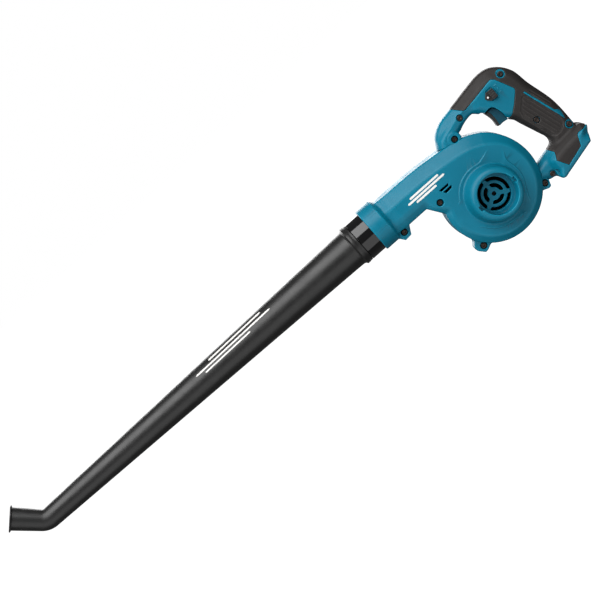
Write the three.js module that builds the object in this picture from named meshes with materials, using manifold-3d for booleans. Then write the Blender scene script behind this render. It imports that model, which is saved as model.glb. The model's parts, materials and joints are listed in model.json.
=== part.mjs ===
// Cordless leaf blower: a centrifugal fan case with a side intake, a long straight
// nozzle with a bent tip, and a closed rear handle that stands on the battery dock.
// Frame: X runs along the nozzle with the tip at -X, Y runs across the tool with the
// motor at +Y, and Z points up. The origin is the centre of the grip. Millimetres.
import * as THREE from 'three';
import { mergeVertices } from 'three/addons/utils/BufferGeometryUtils.js';
import Module from 'manifold-3d';

const wasm = await Module();
wasm.setup();

// ---- Driving dimensions ----
const GAP = 0.3; // clearance between pieces that touch
const WALL = 3; // moulded shells
const EPS = 0.5; // how far a cutter runs past the face it cuts

// Fan case. The spiral's radius grows with the turn from its base angle.
const FAN = { x: -107, z: -34 };
const CASE_HALF = 30;
const CASE_EDGE = 10;
const SPIRAL = { start: 163, base: 180, end: 438, radius: 60.3, growth: 14.7, power: 2.2 };
const SPIRAL_STEP = 11;
const DUCT = { front: -224, floor: 4.2, web: -180, roof: 50.8 };
const LUG_HALF = 12;

// Nozzle, connector and collar, all turned about one axis
const AXIS_Z = 27.2;
const COLLAR = { front: -247.4, back: -226, radius: 29.6, bore: 27.1, throat: 20.5 };
const CONNECTOR = { back: -229.3, shoulder: -267.3, spigot: -300, radius: 26.8, bore: 19.5 };
const BAYONET = { front: -238, back: -233, radius: 28.1, width: 9, clearance: 0.4 };
const TUBE = { mouth: -267.6, ring: -277, neck: -279, bend: -777, wall: 1.6 };
const TUBE_RADIUS = { ring: 26.7, neck: 24.1, bend: 13.3, tip: 14.6, flange: 16.8 };
const TIP_LENGTH = 45.7;
const TIP_ANGLE = 45;
const TIP_FLANGE = 2.6;

// Intake snout and its grille
const SNOUT = { rim: -55, floor: -36, bore: 25.5, throat: 20.8, base: 35 };
const SLOT = { inner: 20, past: 2, length: 8, half: 4 }; // bayonet slots in the snout's bore
const GRILLE = { front: -34.5, back: -31.5, ring: [12.8, 16.5], hub: [2.8, 8], arm: 4.2 };

// Motor side
const MOTOR = { wall: 2.5, radius: 33, end: 84, cover: 105, can: 21, canEnds: [31, 79] };
const SHAFT_RADIUS = 3;
const IMPELLER = { radius: 52, eye: 26, hub: 9, back: 22, front: -16, plate: 2, blades: 11 };
const BLADE = { thick: 1.6, sweep: 16, tipGap: 3 };
const BEARINGS = { front: 31.5, rear: 73.5, radius: 6.6, width: 5 };
const ROTOR_CORE = { radius: 14, from: 40, to: 70 };
const COVER_HEAD = { floor: 10, top: 7.5, edge: 8.4 }; // below the motor cover's face

// Handle and dock
const GRIP_HALF = 17.5;
const GRIP_EDGE = 7;
const DOCK_HALF = 30;
const DOCK_EDGE = 6;
const SKIN = 1.8; // thickness of the soft overmould
const DOCK_TILT = 13.65; // degrees, slope of the battery face

// Controls
const TRIGGER_HALF = 10;
const TRIGGER_TRAVEL = 6;
const SELECTOR = { x: -35, z: 56.3 };
const PIN = { radius: 1.4, cap: 2, face: 2.9, end: -8 };

// Screws: shaft and head radius, head height, how deep the head sits below its face,
// the room round it, the radius of its post and of the window in the overmould
const SCREW = { shank: 1.9, head: 3.5, height: 2.4, tip: 10, sunk: 0.6, relief: 0.9, post: 4.6, window: 5.7 };
const HANDLE_POST = { sunk: 0.8, end: 16 };
const MOTOR_POST = 4.4;
const CASE_SCREWS = {
  case_screw_front: { x: -218.2, z: 0.6, face: -LUG_HALF },
  case_screw_web: { x: -162.8, z: 0.4, face: -26.5 },
  case_screw_belly: { x: -156.4, z: -76.7, face: -LUG_HALF },
  case_screw_rear: { x: -50.2, z: -69.4, face: -LUG_HALF },
};
const HANDLE_SCREWS = {
  handle_screw_foot: { x: -98.4, z: 45, face: -16 },
  handle_screw_arch: { x: -76.6, z: 60, face: -16 },
  handle_screw_top: { x: -4.5, z: 67.4, face: -16 },
  handle_screw_grip: { x: -7.9, z: -4.1, face: -17 },
  handle_screw_heel: { x: 18.8, z: -34.4, face: -17 },
  handle_screw_dock: { x: -36.4, z: -66, face: -20 },
};

// ---- Colours and finishes ----
function plastic(color, roughness) {
  return new THREE.MeshStandardMaterial({ color, roughness, metalness: 0 });
}
function metal(color, roughness) {
  return new THREE.MeshStandardMaterial({ color, roughness, metalness: 1 });
}
const TEAL = plastic(0x00738c, 0.45);
const DARK_TEAL = plastic(0x0b4252, 0.5);
const SOFT_BLACK = plastic(0x322e2e, 0.75);
const GLOSS_BLACK = plastic(0x101012, 0.12);
const SATIN_BLACK = plastic(0x1c1c1d, 0.4);
const INNER_BLACK = plastic(0x1a1a1a, 0.7);
const BOARD_GREEN = plastic(0x1f5a38, 0.6);
const SCREW_STEEL = metal(0x2a2827, 0.45);
const STEEL = metal(0xa8a8a8, 0.3);
const COPPER = metal(0xb87333, 0.35);
const RUBBER = plastic(0x111111, 0.9);

// ---- Solids ----
const radians = THREE.MathUtils.degToRad;

function signedVolume(points, index) {
  const a = new THREE.Vector3();
  const b = new THREE.Vector3();
  const c = new THREE.Vector3();
  let sum = 0;
  for (let i = 0; i < index.length; i += 3) {
    a.fromBufferAttribute(points, index[i]);
    b.fromBufferAttribute(points, index[i + 1]);
    c.fromBufferAttribute(points, index[i + 2]);
    sum += a.dot(b.cross(c));
  }
  return sum;
}

// A closed three.js geometry as a solid, with its faces turned outwards.
function solid(geometry) {
  const bare = geometry.clone();
  bare.deleteAttribute('normal');
  bare.deleteAttribute('uv');
  const merged = mergeVertices(bare, 1e-3);
  const points = merged.getAttribute('position');
  const triVerts = Uint32Array.from(merged.getIndex().array);
  if (signedVolume(points, triVerts) < 0) {
    for (let i = 0; i < triVerts.length; i += 3) {
      [triVerts[i], triVerts[i + 1]] = [triVerts[i + 1], triVerts[i]];
    }
  }
  const vertProperties = Float32Array.from(points.array);
  return new wasm.Manifold(new wasm.Mesh({ numProp: 3, vertProperties, triVerts }));
}

function geometryOf(body) {
  const { vertProperties, triVerts } = body.getMesh();
  const geometry = new THREE.BufferGeometry();
  geometry.setAttribute('position', new THREE.BufferAttribute(vertProperties, 3));
  geometry.setIndex(new THREE.BufferAttribute(triVerts, 1));
  geometry.computeVertexNormals();
  return geometry;
}

function joined(first, ...rest) {
  return rest.reduce((body, other) => body.add(other), first);
}
function cut(first, ...rest) {
  return rest.reduce((body, other) => body.subtract(other), first);
}

// A box between two corners.
function block(low, high) {
  const size = high.map((value, i) => value - low[i]);
  const geometry = new THREE.BoxGeometry(...size);
  geometry.translate(...high.map((value, i) => (value + low[i]) / 2));
  return solid(geometry);
}

// A shape drawn in X and Z, extruded across the tool from y0 to y1.
function plate(shape, y0, y1, edge = 0, edgeSteps = 2) {
  const geometry = new THREE.ExtrudeGeometry(shape, {
    depth: y1 - y0 - 2 * edge,
    steps: 1,
    curveSegments: 3,
    bevelEnabled: edge > 0,
    bevelThickness: edge,
    bevelSize: edge,
    bevelOffset: -edge,
    bevelSegments: edgeSteps,
  });
  geometry.rotateX(Math.PI / 2);
  geometry.translate(0, y1 - edge, 0);
  return solid(geometry);
}

function polygon(points) {
  return new THREE.Shape(points.map(([x, z]) => new THREE.Vector2(x, z)));
}

// A closed profile of [radius, distance] turned about the fan's axis, along Y.
function turnedY(profile, centre = FAN, segments = 28) {
  const geometry = new THREE.LatheGeometry(ringed(profile), segments);
  geometry.translate(centre.x, 0, centre.z);
  return solid(geometry);
}

// A closed profile of [radius, distance] turned about the nozzle's axis, along X.
function turnedX(profile, segments = 28) {
  const geometry = new THREE.LatheGeometry(ringed(profile), segments);
  geometry.rotateZ(-Math.PI / 2);
  geometry.translate(0, 0, AXIS_Z);
  return solid(geometry);
}

// Profiles that start off the axis close on themselves.
function ringed(profile) {
  const points = profile.map(([radius, along]) => new THREE.Vector2(radius, along));
  if (profile[0][0] > 0) {
    points.push(points[0].clone());
  }
  return points;
}

function rod(radius, from, to) {
  return [
    [0, from],
    [radius, from],
    [radius, to],
    [0, to],
  ];
}
function sleeve(inner, outer, from, to) {
  return [
    [inner, from],
    [outer, from],
    [outer, to],
    [inner, to],
  ];
}

// The two sides of the tool, parted at the mid-plane.
const REACH = 400;
const LEFT_SIDE = block([-900, -REACH, -REACH], [200, -GAP / 2, REACH]);
const RIGHT_SIDE = block([-900, GAP / 2, -REACH], [200, REACH, REACH]);

// ---- Fan case ----
function spiralPoint(angle, inset) {
  const turn = Math.max(0, (angle - SPIRAL.base) / (SPIRAL.end - SPIRAL.base));
  const radius = SPIRAL.radius + SPIRAL.growth * turn ** SPIRAL.power - inset;
  const x = FAN.x + radius * Math.cos(radians(angle));
  const z = FAN.z + radius * Math.sin(radians(angle));
  return [x, z];
}

function caseOutline(inset) {
  const shape = new THREE.Shape();
  shape.moveTo(DUCT.front, DUCT.floor + inset);
  shape.lineTo(DUCT.web, DUCT.floor + inset);
  for (let angle = SPIRAL.start; angle <= SPIRAL.end; angle += SPIRAL_STEP) {
    shape.lineTo(...spiralPoint(angle, inset));
  }
  const roof = [
    [-124, 45.3],
    [-163, 49.3],
    [-200, DUCT.roof],
  ];
  shape.splineThru(roof.map(([x, z]) => new THREE.Vector2(x, z - inset)));
  shape.lineTo(DUCT.front, DUCT.roof - inset);
  return shape;
}

const LUGS = {
  front: [[-207.5, 4], [-213.8, -7], [-222.5, -7.5], [-226.8, -3.2], [-226.8, 6]],
  belly: [[-160, -62], [-167, -71.3], [-166.4, -77.3], [-159.8, -84.8], [-155.9, -84.4], [-142, -78]],
  rear: [[-46.5, -55], [-43.6, -68.5], [-46.6, -77], [-50.4, -77.8], [-59.3, -74.2], [-62, -62]],
};

function caseEnvelope(grow) {
  const body = plate(caseOutline(-grow), -CASE_HALF - grow, CASE_HALF + grow, CASE_EDGE);
  const lugs = Object.values(LUGS).map((points) => {
    const centre = points.reduce((sum, [x, z]) => [sum[0] + x, sum[1] + z], [0, 0]);
    const grown = points.map(([x, z]) => {
      const away = new THREE.Vector2(x - centre[0] / points.length, z - centre[1] / points.length);
      away.setLength(away.length() + grow * 1.5);
      return [away.x + centre[0] / points.length, away.y + centre[1] / points.length];
    });
    return plate(polygon(grown), -LUG_HALF - grow, LUG_HALF + grow);
  });
  return joined(body, ...lugs);
}

// Seats for a screw: a recess for the head, a hole for the shank.
function screwSeat({ x, z, face }) {
  const floor = face + SCREW.sunk + SCREW.height;
  const head = turnedY(rod(SCREW.head + SCREW.relief, face - 25, floor), { x, z }, 12);
  const hole = turnedY(rod(SCREW.shank + GAP + 0.1, face, SCREW.tip + EPS), { x, z }, 8);
  return head.add(hole);
}
function screwPost({ x, z }, radius, y0, y1) {
  return turnedY(rod(radius, y0, y1), { x, z }, 12);
}

function collarBody() {
  const { front, back, radius } = COLLAR;
  return turnedX([
    [0, front],
    [radius - 2, front],
    [radius - 0.6, front + 0.6],
    [radius, front + 2],
    [radius, back - 1.5],
    [radius - 1.2, back],
    [radius - 5, back + 5],
    [0, back + 5],
  ]);
}

function collarBore() {
  const { front, back, bore, throat } = COLLAR;
  const groove = BAYONET.radius + BAYONET.clearance;
  return turnedX([
    [0, front - EPS],
    [bore, front - EPS],
    [bore, BAYONET.front - GAP],
    [groove, BAYONET.front - GAP],
    [groove, BAYONET.back + GAP],
    [bore, BAYONET.back + GAP],
    [bore, back],
    [throat, back],
    [throat, DUCT.front + 2 * WALL],
    [0, DUCT.front + 2 * WALL],
  ]);
}

function snoutBody() {
  const { rim, base } = SNOUT;
  return turnedY([
    [0, -CASE_HALF + 2],
    [base + 1.5, -CASE_HALF + 2],
    [base, -CASE_HALF - 2],
    [base - 0.6, -40],
    [base - 2, -47],
    [base - 4.4, -52.4],
    [base - 6.6, rim],
    [0, rim],
  ]);
}

function snoutBore() {
  const { rim, floor, bore, throat } = SNOUT;
  return turnedY([
    [0, rim - EPS],
    [bore, rim - EPS],
    [bore, floor],
    [throat, floor],
    [throat, -CASE_HALF + WALL + 1],
    [0, -CASE_HALF + WALL + 1],
  ]);
}

// Two slots in the snout's wall take the bayonet of a hose or dust bag.
function snoutSlots() {
  const { inner, past, length, half } = SLOT;
  const slots = [0, 180].map((angle) => {
    const slot = block([inner, SNOUT.rim - EPS, -half], [SNOUT.bore + past, SNOUT.floor + length, half]);
    return slot.rotate([0, -angle, 0]).translate([FAN.x, 0, FAN.z]);
  });
  return joined(...slots);
}

function vents() {
  const rows = [
    { z: 10.8, length: 14, x: -147 },
    { z: 6.2, length: 11, x: -145 },
  ];
  const slots = rows.map(({ z, length, x }) => {
    const half = length / 2;
    return plate(
      polygon([[x - half, z + 1.2], [x - half + 2, z - 1.2], [x + half - 2, z - 1.2], [x + half, z + 1.2]]),
      -CASE_HALF - EPS,
      -CASE_HALF + WALL + EPS,
    );
  });
  return joined(...slots);
}

const MOTOR_SCREW_CIRCLE = 26.5;
function motorScrewPlaces() {
  return [90, 210, 330].map((angle) => ({
    x: FAN.x + MOTOR_SCREW_CIRCLE * Math.cos(radians(angle)),
    z: FAN.z + MOTOR_SCREW_CIRCLE * Math.sin(radians(angle)),
  }));
}

function motorHousing() {
  const { wall, radius, end } = MOTOR;
  const tube = turnedY(sleeve(radius - wall, radius, CASE_HALF - WALL, end));
  const posts = motorScrewPlaces().map((place) => {
    const post = turnedY(rod(MOTOR_POST, CASE_HALF - WALL, end), place, 10);
    const hole = turnedY(rod(SCREW.shank + GAP, end - 14, end + EPS), place, 8);
    return post.subtract(hole);
  });
  return joined(tube, ...posts);
}

// The cut-off between the duct and the spiral, thick enough to hold a screw.
function tongue() {
  const nose = [
    [-178, 4], [-170, 3.6], [-163.5, 3.6], [-159.2, 1], [-158.8, -5], [-162, -14], [-165.5, -15.5],
  ];
  return plate(polygon(nose), -CASE_HALF + WALL - 1, CASE_HALF - WALL + 1);
}

function fanCase() {
  const outer = joined(caseEnvelope(0), collarBody(), snoutBody());
  const half = CASE_HALF - WALL;
  const cavity = plate(caseOutline(WALL), -half, half, CASE_EDGE - WALL, 1);
  const hollow = cut(outer, cavity, collarBore(), snoutBore(), snoutSlots(), vents());
  const shaftHole = turnedY(rod(8, 0, CASE_HALF + EPS));
  const housed = cut(hollow.add(motorHousing()), shaftHole);
  const { post, sunk } = SCREW;
  const posts = Object.values(CASE_SCREWS).map((screw) => screwPost(screw, post, screw.face + sunk, LUG_HALF));
  const seats = [...Object.values(CASE_SCREWS), HANDLE_SCREWS.handle_screw_foot].map(screwSeat);
  return cut(joined(housed, tongue(), ...posts), ...seats);
}

// ---- Intake grille ----
function grille() {
  const { front, back, ring, hub, arm } = GRILLE;
  const disc = turnedY(sleeve(hub[0], hub[1], front, back), FAN, 18);
  const hoop = turnedY(sleeve(ring[0], ring[1], front, back), FAN, 30);
  const rim = SNOUT.throat - GAP;
  const arms = [90, 210, 330].map((angle) => {
    const bar = block([hub[1] - 1, front, -arm / 2], [rim, back, arm / 2]);
    return bar.rotate([0, -angle, 0]).translate([FAN.x, 0, FAN.z]);
  });
  return joined(disc, hoop, ...arms);
}

// ---- Impeller, rotor and motor ----
function blade(angle) {
  const shape = new THREE.Shape();
  const { radius, eye } = IMPELLER;
  const { thick, sweep, tipGap } = BLADE;
  const tip = radius - tipGap;
  shape.moveTo(eye, 0);
  shape.quadraticCurveTo(eye + sweep, 1, tip, -sweep);
  shape.lineTo(tip + thick, thick / 2 - sweep);
  shape.quadraticCurveTo(eye + sweep, thick + 2, eye, thick);
  const fin = plate(shape, IMPELLER.front, IMPELLER.back - IMPELLER.plate / 2);
  return fin.rotate([0, -angle, 0]).translate([FAN.x, 0, FAN.z]);
}

function impeller() {
  const { radius, hub, back, plate: thick, front, blades } = IMPELLER;
  const bore = SHAFT_RADIUS + GAP;
  const disc = turnedY([
    [bore, -2],
    [hub - 2, -2],
    [hub, 4],
    [hub + 4, back - thick - 4],
    [hub + 12, back - thick],
    [radius, back - thick],
    [radius, back],
    [bore, back],
  ], FAN, 32);
  const fins = Array.from({ length: blades }, (_, i) => blade((i * 360) / blades));
  const shroud = turnedY(sleeve(IMPELLER.eye - 1, IMPELLER.eye + 4, front - 1, front + 1), FAN, 28);
  return joined(disc, shroud, ...fins);
}

function impellerNut() {
  const nut = new THREE.CylinderGeometry(6, 6, 4, 6);
  nut.translate(FAN.x, -2 - GAP - 2, FAN.z);
  return cut(solid(nut), turnedY(rod(SHAFT_RADIUS + GAP, -20, 5), FAN, 16));
}

function motorShaft() {
  return turnedY(rod(SHAFT_RADIUS, -8, 76), FAN, 16);
}

function motorCan() {
  const { can, canEnds } = MOTOR;
  const seat = 7;
  return turnedY([
    [seat, canEnds[0]],
    [can, canEnds[0]],
    [can, canEnds[1]],
    [seat, canEnds[1]],
    [seat, canEnds[1] - 6],
    [can - 2.5, canEnds[1] - 6],
    [can - 2.5, canEnds[0] + 6],
    [seat, canEnds[0] + 6],
  ], FAN, 24);
}

function bearing(y0) {
  return turnedY(sleeve(SHAFT_RADIUS + GAP, BEARINGS.radius, y0, y0 + BEARINGS.width), FAN, 16);
}

function rotorCore() {
  const { radius, from, to } = ROTOR_CORE;
  return turnedY(sleeve(SHAFT_RADIUS + GAP, radius, from, to), FAN, 16);
}

const COVER_SLOTS = 12;
function motorCover() {
  const { wall, radius, end, cover } = MOTOR;
  const shell = turnedY([
    [radius - wall, end + GAP],
    [radius, end + GAP],
    [radius, cover - 5],
    [radius - 1.5, cover - 1.5],
    [radius - 5, cover],
    [8, cover],
    [8, cover - wall],
    [radius - 5, cover - wall],
    [radius - wall, cover - 5],
  ]);
  const hub = turnedY(rod(9, cover - 4, cover), FAN, 28);
  const posts = motorScrewPlaces().map((place) => turnedY(rod(MOTOR_POST, end + GAP, cover - 2), place, 10));
  const seats = motorScrewPlaces().map((place) => {
    const head = turnedY(rod(SCREW.head + 0.7, cover - COVER_HEAD.floor, cover + EPS), place, 10);
    const hole = turnedY(rod(SCREW.shank + GAP, end - EPS, cover - 5), place, 8);
    return head.add(hole);
  });
  const slots = Array.from({ length: COVER_SLOTS }, (_, i) => {
    const slot = block([11, cover - 4.5, -1.5], [21, cover + EPS, 1.5]);
    return slot.rotate([0, (i * 360) / COVER_SLOTS, 0]).translate([FAN.x, 0, FAN.z]);
  });
  return cut(joined(shell, hub, ...posts), ...seats, ...slots);
}

// ---- Handle ----
// The side view of the handle: front foot, over the top, down the back to the dock,
// and back up round the finger loop. The foot and the neck run on into the fan case,
// which is cut out of them.
function handleOutline() {
  const shape = new THREE.Shape();
  shape.moveTo(-120, 15);
  shape.lineTo(-121.5, 47);
  shape.splineThru([
    new THREE.Vector2(-109.5, 62.5),
    new THREE.Vector2(-96.4, 69),
    new THREE.Vector2(-77.6, 72.8),
    new THREE.Vector2(-37, 80.6),
    new THREE.Vector2(-21.5, 82.2),
    new THREE.Vector2(-4.2, 77),
    new THREE.Vector2(9, 61),
    new THREE.Vector2(13.6, 36),
    new THREE.Vector2(19.2, 16),
    new THREE.Vector2(24, -6),
    new THREE.Vector2(25, -30),
  ]);
  shape.lineTo(25, -62);
  shape.lineTo(-26, -74);
  shape.lineTo(-41, -71.5);
  shape.lineTo(-66, -60);
  shape.lineTo(-66, -46);
  shape.lineTo(-42, -45.4);
  shape.splineThru([
    new THREE.Vector2(-30, -42.6),
    new THREE.Vector2(-16, -38),
    new THREE.Vector2(-11.4, -31),
    new THREE.Vector2(-14.8, -20),
    new THREE.Vector2(-24.4, 4),
    new THREE.Vector2(-32.5, 18),
    new THREE.Vector2(-50, 39.5),
    new THREE.Vector2(-63, 51.5),
    new THREE.Vector2(-80.6, 49),
    new THREE.Vector2(-91, 40),
  ]);
  shape.lineTo(-95, 15);
  return shape;
}

const DOCK_OUTLINE = [
  [-31, -49], [-10, -43], [12, -42], [26, -42.5], [34, -50.6], [29.5, -56], [24, -66.6], [-25.7, -78.7],
  [-32, -70],
];

// Moves each point of a closed outline inwards along its corner's bisector.
function insetPoints(points, distance) {
  const area = THREE.ShapeUtils.area(points);
  const side = area > 0 ? 1 : -1;
  return points.map((point, i) => {
    const before = points[(i + points.length - 1) % points.length];
    const after = points[(i + 1) % points.length];
    const a = new THREE.Vector2(before.y - point.y, point.x - before.x).normalize();
    const b = new THREE.Vector2(point.y - after.y, after.x - point.x).normalize();
    const bisector = a.clone().add(b);
    const scale = (distance * side * 2) / Math.max(bisector.lengthSq(), 1);
    return point.clone().addScaledVector(bisector, scale);
  });
}

function insetPlate(shape, inset, half, edge) {
  const edgeSteps = inset > 0 ? 1 : 2;
  const points = shape.getPoints(2);
  if (points[0].distanceTo(points[points.length - 1]) < 1e-3) {
    points.pop();
  }
  const moved = inset === 0 ? points : insetPoints(points, inset);
  return plate(new THREE.Shape(moved), -half, half, edge, edgeSteps);
}

function handleBody(inset) {
  const grip = insetPlate(handleOutline(), inset, GRIP_HALF - inset, GRIP_EDGE - inset);
  const dock = insetPlate(polygon(DOCK_OUTLINE), inset, DOCK_HALF - inset, DOCK_EDGE - inset);
  return grip.add(dock);
}

// The regions of the handle that the soft overmould covers.
const TOP_SKIN = [
  [-79.2, 90], [-79.2, 76], [-67.4, 63.6], [-64.5, 63], [-46.5, 66], [-20, 70.2], [-15.4, 68.6],
  [-4, 44.4], [-4.6, 40], [-16.6, 28.4], [-26, 20.6], [-31.4, 18.8], [-33, 12], [-40, 0],
  [-27, -27], [-24.4, -37.6], [-17.6, -47.4], [-23, -56], [-15, -69.8], [10.6, -62], [17, -48.6],
  [27, -48.4], [40, -46.6], [40, 90],
];

function dockFrame(body) {
  return body.rotate([0, -DOCK_TILT, 0]);
}

// The battery face is a plane: these cutters stand on it, in its own tilted frame.
const DOCK_FACE = -70.4; // height of the battery face above the origin, along its normal
const POCKET = { x: [-36, 2], half: 19, depth: 9 };
const RAIL = { half: 25, depth: 5, width: 3 };

function dockPocket(grow) {
  const { x, half, depth } = POCKET;
  const low = [x[0] - grow, -half - grow, DOCK_FACE - 10];
  const high = [x[1] + grow, half + grow, DOCK_FACE + depth + grow];
  return dockFrame(block(low, high));
}

function railGrooves() {
  const sides = [-1, 1].map((side) => {
    const ys = [side * RAIL.half, side * (RAIL.half - RAIL.width)].sort((a, b) => a - b);
    const low = [-40, ys[0], DOCK_FACE - 10];
    const high = [60, ys[1], DOCK_FACE + RAIL.depth];
    return dockFrame(block(low, high));
  });
  return joined(...sides);
}

function triggerRecess() {
  return plate(
    polygon([[-61, 10], [-61, 44.4], [-39.5, 44.8], [-35.8, 40.4], [-33.2, 32.4], [-32.4, 24.4], [-33.4, 10]]),
    -GRIP_HALF - EPS,
    GRIP_HALF + EPS,
  );
}

// Room inside the handle for the trigger when it is pressed.
function triggerWay() {
  const half = TRIGGER_HALF + 2 * GAP;
  return block([-61, -half, 18], [-34 + TRIGGER_TRAVEL + 2, half, 45.4]);
}

function handleShell() {
  const envelope = caseEnvelope(GAP);
  const region = plate(polygon(TOP_SKIN), -REACH, REACH);
  const whole = handleBody(0);
  const core = handleBody(SKIN + GAP);
  const cavity = handleBody(SKIN + GAP + WALL);
  const skinned = joined(cut(whole, region), core);
  const { sunk, end } = HANDLE_POST;
  const posts = Object.values(HANDLE_SCREWS).map((screw) => {
    const post = screwPost(screw, SCREW.post, screw.face + sunk, end);
    return post.intersect(core);
  });
  const floor = dockPocket(WALL).intersect(core);
  const hollow = joined(cut(skinned, cavity), floor, ...posts);
  const seats = Object.values(HANDLE_SCREWS).map(screwSeat);
  const pinHole = turnedY(rod(PIN.radius + GAP, -REACH, 0), SELECTOR, 12);
  const openings = [envelope, dockPocket(0), railGrooves(), triggerRecess(), triggerWay(), pinHole];
  return cut(hollow, ...openings, ...seats);
}

function overmould() {
  const region = plate(polygon(TOP_SKIN), -REACH, REACH);
  const skin = cut(handleBody(0), handleBody(SKIN)).intersect(region);
  const seats = Object.values(HANDLE_SCREWS).map((screw) => screwPost(screw, SCREW.window, -40, 0));
  const below = dockFrame(block([-60, -REACH, -90], [60, REACH, DOCK_FACE + RAIL.depth + 1]));
  return cut(skin, caseEnvelope(GAP), below, triggerRecess(), triggerWay(), ...seats);
}

// ---- Controls ----
function trigger() {
  const finger = plate(
    polygon([
      [-34.2, 24.4], [-34.6, 32.4], [-37, 39.4], [-40.2, 43.6], [-49.6, 42.6], [-47.6, 35.4], [-46.8, 29.4],
      [-47.4, 24.4], [-47.8, 21], [-45, 19.8], [-40, 20.6], [-35, 19.4],
    ]),
    -TRIGGER_HALF,
    TRIGGER_HALF,
  );
  const rib = block([-37, -4, 25], [-24, 4, 36]);
  return finger.add(rib);
}

// The switch stands behind the trigger, which pushes its plunger in.
function switchBody() {
  const box = block([-26, -9, 19], [-1, 9, 46]);
  const bore = block([-26 - EPS, -4.4, 23.6], [-14, 4.4, 36.4]);
  return box.subtract(bore);
}

function selectorLever() {
  const shape = new THREE.Shape();
  shape.absarc(SELECTOR.x, SELECTOR.z, 3.6, radians(90), radians(270), false);
  shape.lineTo(SELECTOR.x + 8, SELECTOR.z - 5.8);
  shape.lineTo(SELECTOR.x + 10.6, SELECTOR.z - 5.6);
  shape.lineTo(SELECTOR.x + 10.6, SELECTOR.z + 5.6);
  shape.lineTo(SELECTOR.x + 8, SELECTOR.z + 5.8);
  const arm = plate(shape, -GRIP_HALF - SKIN, -GRIP_HALF - GAP);
  const thumb = block(
    [SELECTOR.x + 3.4, -GRIP_HALF - 5.2, SELECTOR.z - 5.8],
    [SELECTOR.x + 11, -GRIP_HALF - SKIN, SELECTOR.z + 5.8],
  );
  return cut(joined(arm, thumb), turnedY(rod(PIN.radius + GAP, -REACH, 0), SELECTOR, 14));
}

function selectorPin() {
  return turnedY([
    [0, -GRIP_HALF - PIN.face],
    [PIN.cap, -GRIP_HALF - PIN.face],
    [PIN.cap, -GRIP_HALF - SKIN - GAP],
    [PIN.radius, -GRIP_HALF - SKIN - GAP],
    [PIN.radius, PIN.end],
    [0, PIN.end],
  ], SELECTOR, 14);
}

// ---- Battery terminals, board and leads ----
function terminalBlock() {
  const body = block([-34, -13, DOCK_FACE + 1.5], [-8, 13, DOCK_FACE + POCKET.depth - GAP]);
  const slots = [-8, 8].map((y) => block([-30, y - 1.6, DOCK_FACE], [-7, y + 1.6, DOCK_FACE + 6]));
  return dockFrame(cut(body, ...slots));
}

function terminalBlade(side) {
  const y = 8 * side;
  return dockFrame(block([-29, y - 0.5, DOCK_FACE + 2], [-9, y + 0.5, DOCK_FACE + 6 - GAP]));
}

function controllerBoard() {
  const board = block([-33, -15, -57], [-8, 15, -55.4]);
  const parts = [[-30, -10, 6], [-22, 2, 9], [-16, -12, 5]];
  const chips = parts.map(([x, y, size]) => block([x, y, -55.5], [x + size, y + size, -52.5]));
  return dockFrame(joined(board, ...chips));
}

// Insulated leads climb the hollow grip from the board to the switch.
function lead(y) {
  const route = new THREE.CatmullRomCurve3([
    new THREE.Vector3(2, y, -50),
    new THREE.Vector3(6, y, -38),
    new THREE.Vector3(7, y, -12),
    new THREE.Vector3(-4, y, 8),
    new THREE.Vector3(-8, y, 18),
  ]);
  const section = new THREE.Shape();
  section.absarc(0, 0, 1.4, 0, 2 * Math.PI, false);
  return solid(new THREE.ExtrudeGeometry(section, { extrudePath: route, steps: 14, curveSegments: 3 }));
}

// ---- Nozzle ----
function sealRing() {
  return turnedX(sleeve(24.2, COLLAR.bore - GAP, CONNECTOR.back + GAP, COLLAR.back - GAP));
}

function connector() {
  const { back, shoulder, spigot, radius, bore } = CONNECTOR;
  const body = turnedX([
    [bore, spigot],
    [21.2, spigot],
    [21.9, shoulder],
    [radius - 0.4, shoulder],
    [radius, shoulder + 1],
    [radius, back - 1],
    [radius - 1, back],
    [bore + 3, back],
    [bore + 3, shoulder + 8],
    [bore, shoulder + 4],
  ]);
  const { front, back: lugBack, radius: lugRadius, width } = BAYONET;
  const reach = lugRadius + 2;
  const bar = block([front, -reach, AXIS_Z - width / 2], [lugBack, reach, AXIS_Z + width / 2]);
  const lugs = bar.intersect(turnedX(sleeve(radius - 1, lugRadius, front - 1, lugBack + 1)));
  return body.add(lugs);
}

function tubeProfile(inset, mouth) {
  const { ring, neck, bend } = TUBE;
  const { ring: ringRadius, neck: neckRadius, bend: bendRadius } = TUBE_RADIUS;
  if (inset > 0) {
    return [
      [0, bend],
      [bendRadius - inset, bend],
      [neckRadius - inset, neck],
      [neckRadius - inset + 0.2, mouth],
      [0, mouth],
    ];
  }
  return [
    [0, bend],
    [bendRadius, bend],
    [neckRadius, neck],
    [neckRadius + 0.4, neck + 0.6],
    [ringRadius - 0.4, ring + 2.6],
    [ringRadius, ring + 4],
    [ringRadius, mouth - 0.6],
    [ringRadius - 0.6, mouth],
    [0, mouth],
  ];
}

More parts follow.
